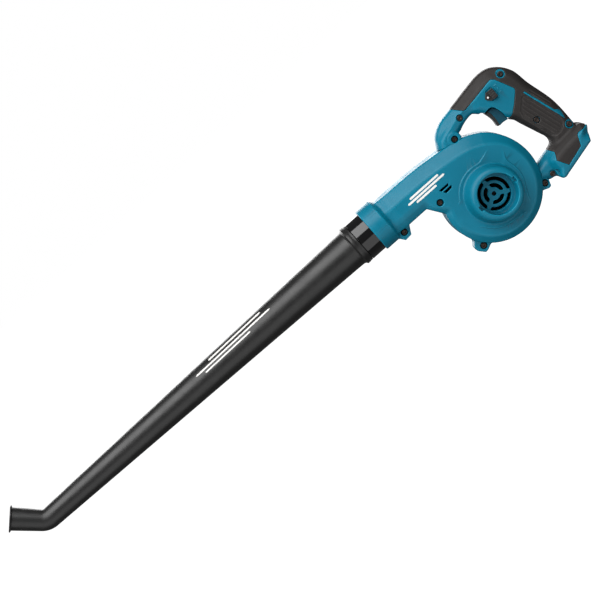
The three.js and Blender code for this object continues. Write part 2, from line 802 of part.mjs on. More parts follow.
// The straight cone, the elbow and the short tip that turns up at its end.
function nozzleForm(inset) {
  const past = inset > 0 ? EPS : 0;
  const cone = turnedX(tubeProfile(inset, TUBE.mouth + past));
  const { bend, tip, flange } = TUBE_RADIUS;
  const flareEnd = TIP_LENGTH + past;
  const profile = [
    [0, 0],
    [bend - inset, 0],
    [tip - inset, TIP_LENGTH - TIP_FLANGE],
  ];
  if (inset > 0) {
    profile.push([tip - inset, flareEnd], [0, flareEnd]);
  } else {
    profile.push([flange, TIP_LENGTH - TIP_FLANGE], [flange, TIP_LENGTH], [0, TIP_LENGTH]);
  }
  const spout = new THREE.LatheGeometry(ringed(profile), 28);
  spout.rotateZ(Math.PI / 2);
  spout.rotateY(radians(TIP_ANGLE));
  spout.translate(TUBE.bend, 0, AXIS_Z);
  const elbow = new THREE.SphereGeometry(bend - inset, 20, 12);
  elbow.translate(TUBE.bend, 0, AXIS_Z);
  return joined(cone, solid(elbow), solid(spout));
}

function nozzleTube() {
  return nozzleForm(0).subtract(nozzleForm(TUBE.wall));
}

// ---- Screws ----
const SOCKET = { radius: 1.6, depth: 2.4 };
function screw({ x, z, face }, tip = SCREW.tip) {
  const top = face + SCREW.sunk;
  const body = turnedY([
    [0, top],
    [SCREW.head - SCREW.relief, top],
    [SCREW.head, top + SCREW.relief],
    [SCREW.head, top + SCREW.height - GAP],
    [SCREW.shank, top + SCREW.height - GAP],
    [SCREW.shank, tip],
    [0, tip],
  ], { x, z }, 9);
  const socket = new THREE.CylinderGeometry(SOCKET.radius, SOCKET.radius, SOCKET.depth, 6);
  socket.translate(x, top, z);
  return body.subtract(solid(socket));
}

function coverScrew({ x, z }) {
  const { end, cover } = MOTOR;
  const body = turnedY([
    [0, end - 13],
    [SCREW.shank, end - 13],
    [SCREW.shank, cover - COVER_HEAD.floor + GAP],
    [SCREW.head, cover - COVER_HEAD.floor + GAP],
    [SCREW.head, cover - COVER_HEAD.edge],
    [SCREW.head - SCREW.relief, cover - COVER_HEAD.top],
    [0, cover - COVER_HEAD.top],
  ], { x, z }, 9);
  const socket = new THREE.CylinderGeometry(SOCKET.radius, SOCKET.radius, SOCKET.depth, 6);
  socket.translate(x, cover - COVER_HEAD.top, z);
  return body.subtract(solid(socket));
}

// ---- Assembly ----
const blower = new THREE.Group();

function put(name, body, material) {
  const mesh = new THREE.Mesh(geometryOf(body), material);
  mesh.name = name;
  blower.add(mesh);
}

const shells = fanCase();
put('fan_case_left', shells.intersect(LEFT_SIDE), TEAL);
put('fan_case_right', shells.intersect(RIGHT_SIDE), TEAL);
put('intake_grille', grille(), TEAL);
put('impeller', impeller(), INNER_BLACK);
put('impeller_nut', impellerNut(), STEEL);
put('motor_shaft', motorShaft(), STEEL);
put('motor_can', motorCan(), STEEL);
put('front_bearing', bearing(BEARINGS.front), STEEL);
put('rear_bearing', bearing(BEARINGS.rear), STEEL);
put('rotor_core', rotorCore(), COPPER);
put('motor_cover', motorCover(), TEAL);

const handle = handleShell();
put('handle_shell_left', handle.intersect(LEFT_SIDE), TEAL);
put('handle_shell_right', handle.intersect(RIGHT_SIDE), TEAL);
const skin = overmould();
put('grip_overmould_left', skin.intersect(LEFT_SIDE), SOFT_BLACK);
put('grip_overmould_right', skin.intersect(RIGHT_SIDE), SOFT_BLACK);

put('trigger', trigger(), DARK_TEAL);
put('trigger_switch', switchBody(), INNER_BLACK);
put('selector_lever', selectorLever(), SOFT_BLACK);
put('selector_pin', selectorPin(), STEEL);
put('terminal_block', terminalBlock(), INNER_BLACK);
put('terminal_blade_left', terminalBlade(-1), COPPER);
put('terminal_blade_right', terminalBlade(1), COPPER);
put('controller_board', controllerBoard(), BOARD_GREEN);
put('switch_lead_left', lead(-3), RUBBER);
put('switch_lead_right', lead(3), RUBBER);

put('nozzle_seal', sealRing(), RUBBER);
put('nozzle_connector', connector(), GLOSS_BLACK);
put('nozzle_tube', nozzleTube(), SATIN_BLACK);

for (const [name, place] of Object.entries({ ...CASE_SCREWS, ...HANDLE_SCREWS })) {
  put(name, screw(place), SCREW_STEEL);
}
motorScrewPlaces().forEach((place, i) => put(`motor_cover_screw_${i + 1}`, coverScrew(place), SCREW_STEEL));

export default blower;
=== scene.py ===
"""Leaf blower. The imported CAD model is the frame: it sets where everything is and how it moves.

Each visible piece is a moulded part, so each is written here as a field: a function of X, Y and Z that
is negative inside the plastic and positive outside, and about the distance to the surface near it.
Fields join, cut and round into each other, and net() lays a mesh on the place where a field is zero.
Millimetres here, metres on the meshes. X runs along the nozzle, Y across the tool with the motor at +Y,
and Z points up.
"""
import json
import math

import bpy
import numpy as np
from mathutils import Matrix, Vector


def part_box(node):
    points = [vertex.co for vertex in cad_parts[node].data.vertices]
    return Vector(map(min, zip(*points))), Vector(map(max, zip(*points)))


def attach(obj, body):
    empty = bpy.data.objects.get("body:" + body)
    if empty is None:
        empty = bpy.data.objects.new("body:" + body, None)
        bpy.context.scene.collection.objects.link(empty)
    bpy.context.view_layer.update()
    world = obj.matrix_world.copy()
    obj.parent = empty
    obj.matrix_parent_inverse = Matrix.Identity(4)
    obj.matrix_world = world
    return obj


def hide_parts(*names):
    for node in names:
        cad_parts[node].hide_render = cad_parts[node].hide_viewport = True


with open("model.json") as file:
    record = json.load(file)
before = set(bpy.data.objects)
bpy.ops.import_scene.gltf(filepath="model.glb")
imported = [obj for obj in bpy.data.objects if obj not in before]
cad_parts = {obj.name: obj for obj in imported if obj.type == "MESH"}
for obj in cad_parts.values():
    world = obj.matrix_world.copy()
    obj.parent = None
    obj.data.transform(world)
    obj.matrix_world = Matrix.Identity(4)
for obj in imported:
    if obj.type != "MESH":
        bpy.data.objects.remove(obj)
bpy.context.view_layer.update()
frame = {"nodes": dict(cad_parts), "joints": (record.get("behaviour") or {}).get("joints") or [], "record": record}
MM = 0.001
ROUGH_CUT = 1.0  # coarser meshes while trying things


# ---- Places read from the frame, in millimetres ----
def span(node):
    low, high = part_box(node)
    return np.array(low) / MM, np.array(high) / MM


def joint_place(name):
    return [p / MM for p in next(j for j in frame["joints"] if j["name"] == name)["pos_m"]]


def centre(node):
    low, high = span(node)
    return (low + high) / 2


FAN_X, _, FAN_Z = joint_place("fan_spin")
AXIS_Z = joint_place("nozzle_twist")[2]
PIVOT_X, _, PIVOT_Z = joint_place("selector_turn")
CASE_LOW, CASE_HIGH = span("fan_case_left")
MOTOR_END = span("fan_case_right")[1][1]
COVER_LOW, COVER_HIGH = span("motor_cover")
CONNECTOR_LOW, CONNECTOR_HIGH = span("nozzle_connector")
GRILLE_LOW, GRILLE_HIGH = span("intake_grille")
HANDLE_LOW, HANDLE_HIGH = span("handle_shell_left")
GRIP_LOW, GRIP_HIGH = span("grip_overmould_left")
TRIGGER_LOW, TRIGGER_HIGH = span("trigger")

CASE_HALF = 30  # half widths across the tool
GRIP_HALF = 17.5
DOCK_HALF = 30
WALL = 3
SKIN_DEPTH = 2.8  # thickness of the soft overmould
SEAM = 0.15  # half of the gap where two mouldings meet
RIM_Y = CASE_LOW[1]  # outer end of the intake snout
COLLAR_FRONT = CASE_LOW[0]
COLLAR_RADIUS = CASE_HIGH[2] - AXIS_Z


# ---- Joining and rounding fields ----
def both(a, b, radius=0.4):
    """Where a and b overlap, with the edge between them rounded."""
    inside = np.minimum(np.maximum(a, b), -radius)
    return inside + np.hypot(np.maximum(a + radius, 0), np.maximum(b + radius, 0))


def either(a, b, radius=0.4):
    """a and b joined, with a fillet between them."""
    return -both(-a, -b, radius)


def without(a, b, radius=0.4):
    """a with b cut out of it."""
    return both(a, -b, radius)


def step(low, high, value):
    """Rises smoothly from 0 at low to 1 at high."""
    t = np.clip((value - low) / (high - low), 0, 1)
    return t * t * (3 - 2 * t)


def disc(x, z, cx, cz, radius):
    return np.hypot(x - cx, z - cz) - radius


def stroke(x, z, start, end, radius):
    """A straight stroke with round ends, in X and Z."""
    (ax, az), (bx, bz) = start, end
    t = np.clip(((x - ax) * (bx - ax) + (z - az) * (bz - az)) / ((bx - ax) ** 2 + (bz - az) ** 2), 0, 1)
    return np.hypot(x - ax - t * (bx - ax), z - az - t * (bz - az)) - radius


def about_fan(x, z):
    """Distance from the fan's axis, and the angle round it."""
    dx, dz = x - FAN_X, z - FAN_Z
    return np.hypot(dx, dz), np.arctan2(dz, dx)


def off_spoke(angle, count, radius):
    """Distance along an arc from the nearest of evenly spaced spokes."""
    return np.abs((angle / (2 * math.pi) * count) % 1 - 0.5) / count * 2 * math.pi * radius


def slab(value, low, high):
    """The space between two flat faces."""
    return np.abs(value - (low + high) / 2) - (high - low) / 2


def moulded(outline, side, half, land, drop, edge, crease):
    """A body of that outline and half width, whose edges slope away over `land` and fall by `drop`."""
    slope = ((outline + land) * drop + (side - half) * land) / np.hypot(land, drop)
    return both(both(outline, side - half, edge), slope, crease)


def curve(points, per=6):
    """A smooth line through points."""
    p = np.array([points[0], *points, points[-1]], float)
    made = []
    for a, b, c, d in zip(p, p[1:], p[2:], p[3:]):
        for t in np.arange(per) / per:
            made.append(0.5 * (2 * b + (c - a) * t + (2 * a - 5 * b + 4 * c - d) * t ** 2
                               + (3 * b - a - 3 * c + d) * t ** 3))
    return [*made, p[-1]]


class Outline:
    """The signed distance to a closed outline in X and Z, kept as a map."""

    def __init__(self, points, pitch=0.5, margin=14):
        points = np.array(points, float)
        self.low = points.min(0) - margin
        self.pitch = pitch
        count = np.ceil((points.max(0) + margin - self.low) / pitch).astype(int) + 1
        x = (self.low[0] + pitch * np.arange(count[0]))[:, None]
        z = (self.low[1] + pitch * np.arange(count[1]))[None, :]
        near = np.full(count, np.inf)
        inside = np.zeros(count, bool)
        for (ax, az), (bx, bz) in zip(points, np.roll(points, -1, 0)):
            near = np.minimum(near, stroke(x, z, (ax, az), (bx, bz), 0))
            if az != bz:
                inside ^= ((az > z) != (bz > z)) & (x < ax + (z - az) * (bx - ax) / (bz - az))
        self.map = np.where(inside, -near, near)

    def __call__(self, x, z):
        u = (x - self.low[0]) / self.pitch
        v = (z - self.low[1]) / self.pitch
        cu = np.clip(u, 0, self.map.shape[0] - 1.001)
        cv = np.clip(v, 0, self.map.shape[1] - 1.001)
        i, j = cu.astype(int), cv.astype(int)
        s, t = cu - i, cv - j
        m = self.map
        near_row = m[i, j] * (1 - s) + m[i + 1, j] * s
        far_row = m[i, j + 1] * (1 - s) + m[i + 1, j + 1] * s
        value = near_row * (1 - t) + far_row * t
        return value + self.pitch * np.hypot(u - cu, v - cv)


# ---- Meshes ----
CORNERS = np.array([(i, j, k) for i in (0, 1) for j in (0, 1) for k in (0, 1)])
CELL_EDGES = [(a, b) for a in CORNERS for b in CORNERS if (b - a).sum() == 1 and (b - a).min() == 0]


def surface_quads(values, origin, pitch):
    """Surface nets: a point in each cell that the surface crosses, and a quad round each crossed edge."""
    inside = values < 0
    cells = np.array(values.shape) - 1
    count = np.zeros(cells, np.int8)
    for i, j, k in CORNERS:
        count += inside[i:i + cells[0], j:j + cells[1], k:k + cells[2]]
    crossed = np.argwhere((count > 0) & (count < 8))
    index = np.full(cells, -1, np.int32)
    index[tuple(crossed.T)] = np.arange(len(crossed))
    total = np.zeros((len(crossed), 3))
    hits = np.zeros(len(crossed))
    for a, b in CELL_EDGES:
        va, vb = values[tuple((crossed + a).T)], values[tuple((crossed + b).T)]
        cut = (va < 0) != (vb < 0)
        t = np.where(cut, va / np.where(cut, va - vb, 1), 0)
        total += cut[:, None] * (a + t[:, None] * (b - a))
        hits += cut
    points = origin + pitch * (crossed + total / hits[:, None])
    quads = []
    for axis in range(3):
        ahead = np.roll([1, 0, 0], axis)
        first, second = np.roll(ahead, 1), np.roll(ahead, 2)
        head = [slice(1, None)] * 3
        head[axis] = slice(None, -1)
        starts = np.argwhere(inside[tuple(head)] != inside[1:, 1:, 1:]) + 1 - ahead
        ring = [starts - first - second, starts - second, starts, starts - first]
        quad = np.stack([index[tuple(r.T)] for r in ring], 1)
        outward = inside[tuple(starts.T)]
        quads.append(np.where(outward[:, None], quad, quad[:, ::-1]))
    return points, np.concatenate(quads)


def slope_of(field, points, reach=0.5):
    """The field's gradient, and how sharply the surface bulges there."""
    centre_value = field(*points.T)
    ahead = [field(*(points + reach * unit).T) for unit in np.eye(3)]
    back = [field(*(points - reach * unit).T) for unit in np.eye(3)]
    gradient = np.stack([(a - b) / (2 * reach) for a, b in zip(ahead, back)], 1)
    bulge = (sum(ahead) + sum(back) - 6 * centre_value) / reach ** 2
    return centre_value, gradient, bulge


def settle(field, points, limit, rounds):
    """Moves points onto the surface, by no more than the limit in each round."""
    for _ in range(rounds):
        value, gradient, _ = slope_of(field, points, 0.25)
        size = np.maximum((gradient ** 2).sum(1), 0.05)
        move = -value[:, None] * gradient / size[:, None]
        length = np.maximum(np.linalg.norm(move, axis=1, keepdims=True), 1e-9)
        points = points + move * np.minimum(1, limit / length)
    return points


def placed(name, data):
    obj = bpy.data.objects.new(name, data)
    bpy.context.scene.collection.objects.link(obj)
    return obj


def thin(obj, keep):
    """Leaves an object that share of its triangles."""
    cutter = obj.modifiers.new("thin", "DECIMATE")
    cutter.ratio = keep
    shown = obj.evaluated_get(bpy.context.evaluated_depsgraph_get())
    mesh = bpy.data.meshes.new_from_object(shown)
    obj.modifiers.clear()
    old, obj.data = obj.data, mesh
    bpy.data.meshes.remove(old)


def net(name, field, low, high, pitch=0.9, keep=0.35):
    """An object whose surface is where field is zero, between two corners, in millimetres."""
    pitch = pitch * ROUGH_CUT
    axes = [np.arange(a - 1.5 * pitch, b + 2.5 * pitch, pitch) for a, b in zip(low, high)]
    grid = np.ix_(*axes)
    values = np.broadcast_to(field(*grid), [len(a) for a in axes])
    points, quads = surface_quads(values, np.array([a[0] for a in axes]), pitch)
    points = settle(field, points, 0.5 * pitch, 2)
    mesh = bpy.data.meshes.new(name)
    mesh.from_pydata(points, [], quads.tolist())
    obj = placed(name, mesh)
    thin(obj, keep)
    mesh = obj.data
    mesh.name = name
    place = np.empty(len(mesh.vertices) * 3)
    mesh.vertices.foreach_get("co", place)
    points = settle(field, place.reshape(-1, 3), 0.3 * pitch, 1)
    _, gradient, bulge = slope_of(field, points)
    mesh.vertices.foreach_set("co", (points * MM).ravel())
    mesh.polygons.foreach_set("use_smooth", np.ones(len(mesh.polygons), bool))
    edge = mesh.attributes.new("bulge", "FLOAT", "POINT")
    edge.data.foreach_set("value", np.clip(bulge, -2, 2).astype(np.float32))
    normals = gradient / np.maximum(np.linalg.norm(gradient, axis=1, keepdims=True), 1e-6)
    mesh.normals_split_custom_set_from_vertices(normals)
    mesh.validate(clean_customdata=False)
    mesh.update()
    return obj


# ---- Materials ----
def srgb(red, green, blue):
    """The linear colour of three sRGB bytes."""
    shares = [c / 255 for c in (red, green, blue)]
    return tuple(((c + 0.055) / 1.055) ** 2.4 if c > 0.04 else c / 12.92 for c in shares) + (1,)


def shade(colour, share):
    return tuple(c * share for c in colour[:3]) + (1,)


class Shader:
    """A node material with one Principled shader."""

    def __init__(self, name):
        self.material = bpy.data.materials.new(name)
        self.material.use_nodes = True
        self.nodes = self.material.node_tree.nodes
        self.links = self.material.node_tree.links
        self.surface = self.nodes["Principled BSDF"]
        self.where = self.nodes.new("ShaderNodeTexCoord").outputs["Object"]

    def link(self, output, target):
        self.links.new(output, target)

    def noise(self, scale, detail=3.0, rough=0.55):
        node = self.nodes.new("ShaderNodeTexNoise")
        node.inputs["Scale"].default_value = scale
        node.inputs["Detail"].default_value = detail
        node.inputs["Roughness"].default_value = rough
        self.link(self.where, node.inputs["Vector"])
        return node.outputs["Fac"]

    def bulge(self):
        """How sharply the surface bulges, from the value that net() keeps on each vertex."""
        node = self.nodes.new("ShaderNodeAttribute")
        node.attribute_name = "bulge"
        return node.outputs["Fac"]

    def spread(self, value, low, high, new_low, new_high):
        node = self.nodes.new("ShaderNodeMapRange")
        node.inputs["From Min"].default_value = low
        node.inputs["From Max"].default_value = high
        node.inputs["To Min"].default_value = new_low
        node.inputs["To Max"].default_value = new_high
        self.link(value, node.inputs["Value"])
        return node.outputs["Result"]

    def mix(self, share, first, second):
        node = self.nodes.new("ShaderNodeMix")
        node.data_type = "RGBA"
        self.link(share, node.inputs["Factor"])
        for socket, value in ((node.inputs[6], first), (node.inputs[7], second)):
            if isinstance(value, tuple):
                socket.default_value = value
            else:
                self.link(value, socket)
        return node.outputs[2]

    def bump(self, height, strength, distance):
        node = self.nodes.new("ShaderNodeBump")
        node.inputs["Strength"].default_value = strength
        node.inputs["Distance"].default_value = distance
        self.link(height, node.inputs["Height"])
        self.link(node.outputs["Normal"], self.surface.inputs["Normal"])


GRAIN_DEPTH = 0.00006  # metres
METAL_DEPTH = 0.00005
METAL_SCALE = 400


def moulding(name, colour, rough, worn, grain=900, bump=0.12, level=0.5):
    """Moulded plastic: a fine spark texture, cloudy colour, paler worn edges and painted shade that darkens the
    hollows.
    """
    s = Shader(name)
    cloud = s.spread(s.noise(14, 4), 0.3, 0.7, 0, 1)
    base = s.mix(cloud, shade(colour, 0.86), colour)
    scuffs = s.noise(130, 5, 0.7)
    edge = s.nodes.new("ShaderNodeMath")
    edge.operation = "MULTIPLY"
    s.link(s.spread(s.bulge(), 0.15, 1.1, 0, 1), edge.inputs[0])
    s.link(s.spread(scuffs, 0.35, 0.65, 0.1, 0.6), edge.inputs[1])
    base = s.mix(edge.outputs[0], base, worn)
    # painted shade: where the surface curves inward, the colour is darkened towards half its value
    hollow = s.spread(s.bulge(), -0.15, -1.0, 0, 0.45)
    base = s.mix(hollow, base, shade(colour, 0.5))
    s.link(base, s.surface.inputs["Base Color"])
    s.link(s.spread(s.noise(60, 4), 0.3, 0.7, rough - 0.05, rough + 0.06), s.surface.inputs["Roughness"])
    s.surface.inputs["Specular IOR Level"].default_value = level
    s.bump(s.noise(grain, 2), bump, GRAIN_DEPTH)
    return s.material


def metal(name, colour, rough):
    """Worked metal: cloudy colour, uneven polish and fine scratches."""
    s = Shader(name)
    s.surface.inputs["Metallic"].default_value = 1.0
    s.link(s.mix(s.noise(60, 4), shade(colour, 0.75), colour), s.surface.inputs["Base Color"])
    polish = s.spread(s.noise(METAL_SCALE, 3), 0.3, 0.7, rough - 0.06, rough + 0.1)
    s.link(polish, s.surface.inputs["Roughness"])
    s.bump(s.noise(METAL_SCALE * 2, 2), 0.1, METAL_DEPTH)
    return s.material


TEAL = moulding("teal_nylon", srgb(0, 112, 138), 0.4, srgb(20, 150, 178), level=0.25)
# the housing's teal darkened as painted shade, for the trigger's side that sits back in the slot's shadow
TEAL_PAINTED_SHADE = moulding("teal_nylon_painted_shade", srgb(0, 66, 84), 0.4, srgb(20, 100, 120), level=0.3)
SOFT_BLACK = moulding("soft_overmould", srgb(40, 37, 36), 0.6, srgb(84, 80, 78), grain=700, bump=0.35,
                      level=0.3)
PAD_BLACK = moulding("pad_black", srgb(22, 21, 21), 0.55, srgb(60, 58, 56))
GLOSS_BLACK = moulding("gloss_black", srgb(13, 13, 14), 0.08, srgb(34, 34, 36), bump=0.01, level=0.6)
SATIN_BLACK = moulding("satin_black", srgb(26, 26, 26), 0.38, srgb(58, 58, 58), grain=600, bump=0.2)
INNER_BLACK = moulding("inner_black", srgb(20, 20, 20), 0.6, srgb(50, 50, 50))
BOARD_GREEN = moulding("board_green", srgb(30, 88, 54), 0.5, srgb(90, 140, 100))
SEAL_RUBBER = moulding("seal_rubber", srgb(16, 16, 16), 0.8, srgb(44, 44, 44))
WHITE_PAINT = moulding("white_paint", srgb(236, 234, 230), 0.4, srgb(250, 250, 250))
STEEL = metal("plain_steel", srgb(176, 176, 178), 0.3)
DARK_STEEL = metal("dark_steel", srgb(58, 58, 60), 0.5)
COPPER = metal("copper", srgb(200, 130, 90), 0.35)
SCREW_BLACK = metal("black_screw_steel", srgb(70, 62, 58), 0.42)


def finish(obj, material, slot, body, *nodes):
    """Gives a piece its material, its body and the CAD nodes that it stands for; slot is not used."""
    obj.data.materials.clear()
    obj.data.materials.append(material)
    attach(obj, body)
    if nodes:
        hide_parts(*nodes)
    return obj


# ---- Fan case ----
SPIRAL_X = FAN_X - 1.4
SPIRAL_Z = FAN_Z + 1.2
SPIRAL_BASE = 60.9  # radius where the spiral starts to grow
SPIRAL_GROWTH = 16.4
SPIRAL_POWER = 2.6
SPIRAL_ANGLES = np.arange(163, 421, 3)  # degrees, from the belly round to the duct's roof
GROWS_FROM, GROWS_OVER = 180, 258  # degrees
DUCT_FLOOR = 4.6
DUCT_ROOF = 50.9
OUTLINE_END = -262  # the outline runs on past the collar, and the body is cut off short of it
BODY_END = -227

COLLAR_BACK = -225.6
COLLAR_LIP = 1.5
NECK_END = -214
NECK_SLOPE = 1.1
SOCKET_RADIUS = 27.3  # takes the nozzle's connector
SOCKET_END = -226
DUCT_BORE = 20.5

SNOUT_ROOT = 28  # distances out from the mid-plane
SNOUT_BEND = 33
SNOUT_RADIUS = 35.6
SNOUT_TAPER = 3.2
SNOUT_LEAN_X, SNOUT_LEAN_Z = 2.2, -0.8
INTAKE_RADIUS, INTAKE_DEPTH = 25.5, 36
THROAT_RADIUS, THROAT_DEPTH = 20.8, 15
NOTCH_RADIUS, NOTCH_DEPTH, NOTCH_HALF = 28.3, 44, 3.6

MOTOR_RADIUS = 33
MOTOR_BORE = 30.5
GROOVES = 24
GROOVE_HALF = 1.3
GROOVE_FLOOR = 31.8
GROOVE_SPAN = (44, 76)


def case_outline():
    spiral = []
    for angle in SPIRAL_ANGLES:
        turn = max(0, (angle - GROWS_FROM) / GROWS_OVER)
        radius = SPIRAL_BASE + SPIRAL_GROWTH * turn ** SPIRAL_POWER
        a = math.radians(angle)
        spiral.append((SPIRAL_X + radius * math.cos(a), SPIRAL_Z + radius * math.sin(a)))
    roof = curve([spiral[-1], (-86, 39), (-104, 43.9), (-125, 46.6), (-145, 48.7), (-165, 50.1),
                  (-200, DUCT_ROOF), (OUTLINE_END, DUCT_ROOF)])
    return [(OUTLINE_END, DUCT_FLOOR), (-180, DUCT_FLOOR), *spiral, *roof[1:]]


CASE = Outline(case_outline())
LUGS = [
    Outline([(-205.5, 8), (-208.2, 2.2), (-213.6, -7.4), (-223.3, -8.2), (-227.6, -2.4), (-228, 8)]),
    Outline([(-160, -62), (-166.6, -71), (-166.4, -77.3), (-159.8, -84.8), (-155.9, -84.4), (-142, -78)]),
    Outline([(-46.5, -55), (-43.6, -68.5), (-46.6, -77), (-50.4, -77.8), (-59.3, -74.2), (-62, -62)]),
]
VENTS = [
    Outline([(-154.4, 12.4), (-140, 12.2), (-141.4, 9.4), (-152.8, 9.4)]),
    Outline([(-151.8, 7.8), (-138.4, 7.8), (-140.2, 4.8), (-149.4, 4.2)]),
]
CASE_SCREWS = ["case_screw_front", "case_screw_web", "case_screw_belly", "case_screw_rear"]
HANDLE_SCREWS = ["handle_screw_foot", "handle_screw_arch", "handle_screw_top", "handle_screw_grip",
                 "handle_screw_heel", "handle_screw_dock"]
COVER_SCREWS = [f"motor_cover_screw_{i}" for i in (1, 2, 3)]


WELL_RADIUS = 4.5
WELL_DEPTH = 2.6  # below the top of the screw's head


def screw_wells(field, x, y, z, names):
    """Sinks a round well to each screw's head."""
    for name in names:
        cx, _, cz = centre(name)
        top = span(name)[0][1]
        well = both(disc(x, z, cx, cz, WELL_RADIUS), y - (top + WELL_DEPTH), 0.3)
        field = without(field, well, 0.7)
    return field


def crescent(stations):
    """The angles and radii of a smooth line round the fan, from (degrees, radius) in rising order."""
    line = np.array(curve(stations))
    return line[:, 0], line[:, 1]


CRESCENTS = [
    crescent([(53, 58), (59, 51.5), (66, 45.5), (76, 41), (95, 41.4), (120, 42), (148, 42.2), (154, 44),
              (158, 47)]),
    crescent([(-58, 48.5), (-50, 44.5), (-40, 41.6), (-28, 40.4), (-10, 41.4), (18, 42), (27, 43.6),
              (32, 48), (38, 57)]),
    crescent([(-158, 46.5), (-152, 43.6), (-146, 42.4), (-118, 42.6), (-92, 42), (-78, 44.4), (-68, 48)]),
]
CRESCENT_RISE = 1.1
CRESCENT_FADE = 9


def pad_rise(out, angle):
    """A pad round the intake, raised a little along three crescents and fading away from each."""
    degrees = np.degrees(angle)
    rise = 0.0
    for turn, radius in CRESCENTS:
        off = out - np.interp(degrees, turn, radius)
        ends = step(turn[0], turn[0] + 16, degrees) * step(turn[-1], turn[-1] - 9, degrees)
        inner = step(0.5, -0.5, off) * np.exp(np.minimum(off, 0) / CRESCENT_FADE)
        rise = rise + CRESCENT_RISE * ends * inner
    return rise


def turned_collar(x, y, z):
    """Collar and neck, round about the nozzle's axis."""
    out = np.hypot(y, z - AXIS_Z)
    collar = both(out - COLLAR_RADIUS, slab(x, COLLAR_FRONT, COLLAR_BACK), 1.8)
    cone = (out - (COLLAR_RADIUS - COLLAR_LIP) + (x - COLLAR_BACK) * NECK_SLOPE) / 1.5
    neck = both(cone, slab(x, BODY_END - 1, NECK_END), 0.5)
    return np.minimum(collar, neck)


def case_form(x, y, z):
    """The outside of both halves, without the snout and the motor housing."""
    side = np.abs(y)
    left = y < 0
    out, angle = about_fan(x, z)
    outline = CASE(x, z)
    high = step(-6, 32, z)
    duct = 1 - step(-176, -150, x)
    land = 9 + 7 * high - 4 * duct * (1 - high)
    drop = 9 + 3 * high - 4 * duct * (1 - high)
    waist = 5.5 * (1 - step(-224, -207, x))
    pad = np.where(left, pad_rise(out, angle), 0)
    body = moulded(outline, side, CASE_HALF - 0.9 - waist + pad, land, drop, 2.5, 1.6)
    body = np.maximum(body, BODY_END - x)
    for lug in LUGS:
        body = either(body, both(lug(x, z), side - 12, 1.6), 2.5)
    return either(body, turned_collar(x, y, z), 1.2)


def round_snout(x, y, z):
    """Distance from the snout's axis, which leans back a little as it stands out."""
    lean = np.clip((-y - SNOUT_BEND) / (-RIM_Y - SNOUT_BEND), 0, 1)
    dx, dz = x - FAN_X - SNOUT_LEAN_X * lean, z - FAN_Z - SNOUT_LEAN_Z * lean
    return np.hypot(dx, dz), dz


def snout_form(x, y, z):
    """The round intake that stands out of the left side."""
    out, _ = round_snout(x, y, z)
    rise = np.clip((-y - SNOUT_ROOT) / (-RIM_Y - SNOUT_ROOT), 0, 1)
    cone = (out - (SNOUT_RADIUS - SNOUT_TAPER * rise ** 1.4)) / 1.03
    return both(both(cone, RIM_Y - y, 6.0), y + 20, 0.5)


def intake_bore(x, y, z):
    """The round intake with its two bayonet notches, and the narrower throat behind the grille."""
    out, dz = round_snout(x, y, z)
    bore = both(out - INTAKE_RADIUS, y + INTAKE_DEPTH, 0.8)
    throat = np.maximum(out - THROAT_RADIUS, y + THROAT_DEPTH)
    notch = both(both(np.abs(dz) - NOTCH_HALF, out - NOTCH_RADIUS, 0.8), y + NOTCH_DEPTH, 0.8)
    return np.minimum(np.minimum(bore, throat), notch)


def motor_form(x, y, z):
    """The motor's housing on the right side, with grooves along it."""
    out, angle = about_fan(x, z)
    groove = off_spoke(angle, GROOVES, MOTOR_RADIUS) - GROOVE_HALF
    groove = both(both(groove, GROOVE_FLOOR - out, 0.3), slab(y, *GROOVE_SPAN), 0.3)
    tube = both(out - MOTOR_RADIUS, y - MOTOR_END, 0.8)
    return np.maximum(without(tube, groove, 0.5), 20 - y)


def fan_case(x, y, z):
    """Both halves of the case, hollow inside."""
    form = case_form(x, y, z)
    left = either(form, snout_form(x, y, z), 3.0)
    right = either(form, motor_form(x, y, z), 4.0)
    shell = np.where(y < 0, left, right)
    out, _ = about_fan(x, z)
    shell = np.maximum(shell, -(form + WALL))
    shell = without(shell, intake_bore(x, y, z), 0.9)
    shell = np.maximum(shell, -np.maximum(out - MOTOR_BORE, slab(y, 26, 95)))
    pipe = np.hypot(y, z - AXIS_Z)
    shell = without(shell, np.maximum(pipe - SOCKET_RADIUS, x - SOCKET_END), 0.8)
    shell = np.maximum(shell, -np.maximum(pipe - DUCT_BORE, x - NECK_END))
    for vent in VENTS:
        shell = without(shell, np.maximum(vent(x, z), y + 20), 0.3)
    web = centre("case_screw_web")
    post = both(disc(x, z, web[0], web[2], 6.6), slab(y, -CASE_HALF + 2, -8), 0.8)
    shell = either(shell, post, 1.0)
    return screw_wells(shell, x, y, z, [*CASE_SCREWS, "handle_screw_foot"])


def half_of(field, side):
    """The part of a field on one side of the middle seam."""
    return lambda x, y, z: both(field(x, y, z), SEAM - side * y, 0.3)


def build_fan_case():
    low, high = CASE_LOW, CASE_HIGH
    left = net("fan_case_left.skin", half_of(fan_case, -1), low, (high[0], 0, high[2]))
    finish(left, TEAL, "housing_teal", "tool", "fan_case_left")
    low, high = (low[0], 0, low[2]), (high[0], MOTOR_END, high[2])
    right = net("fan_case_right.skin", half_of(fan_case, 1), low, high)
    finish(right, TEAL, "housing_teal", "tool", "fan_case_right")


build_fan_case()


SPOKE_HALF = 2.4
HUB_RADII = (2.8, 8)
HOOP_RADII = (12.8, 16.5)


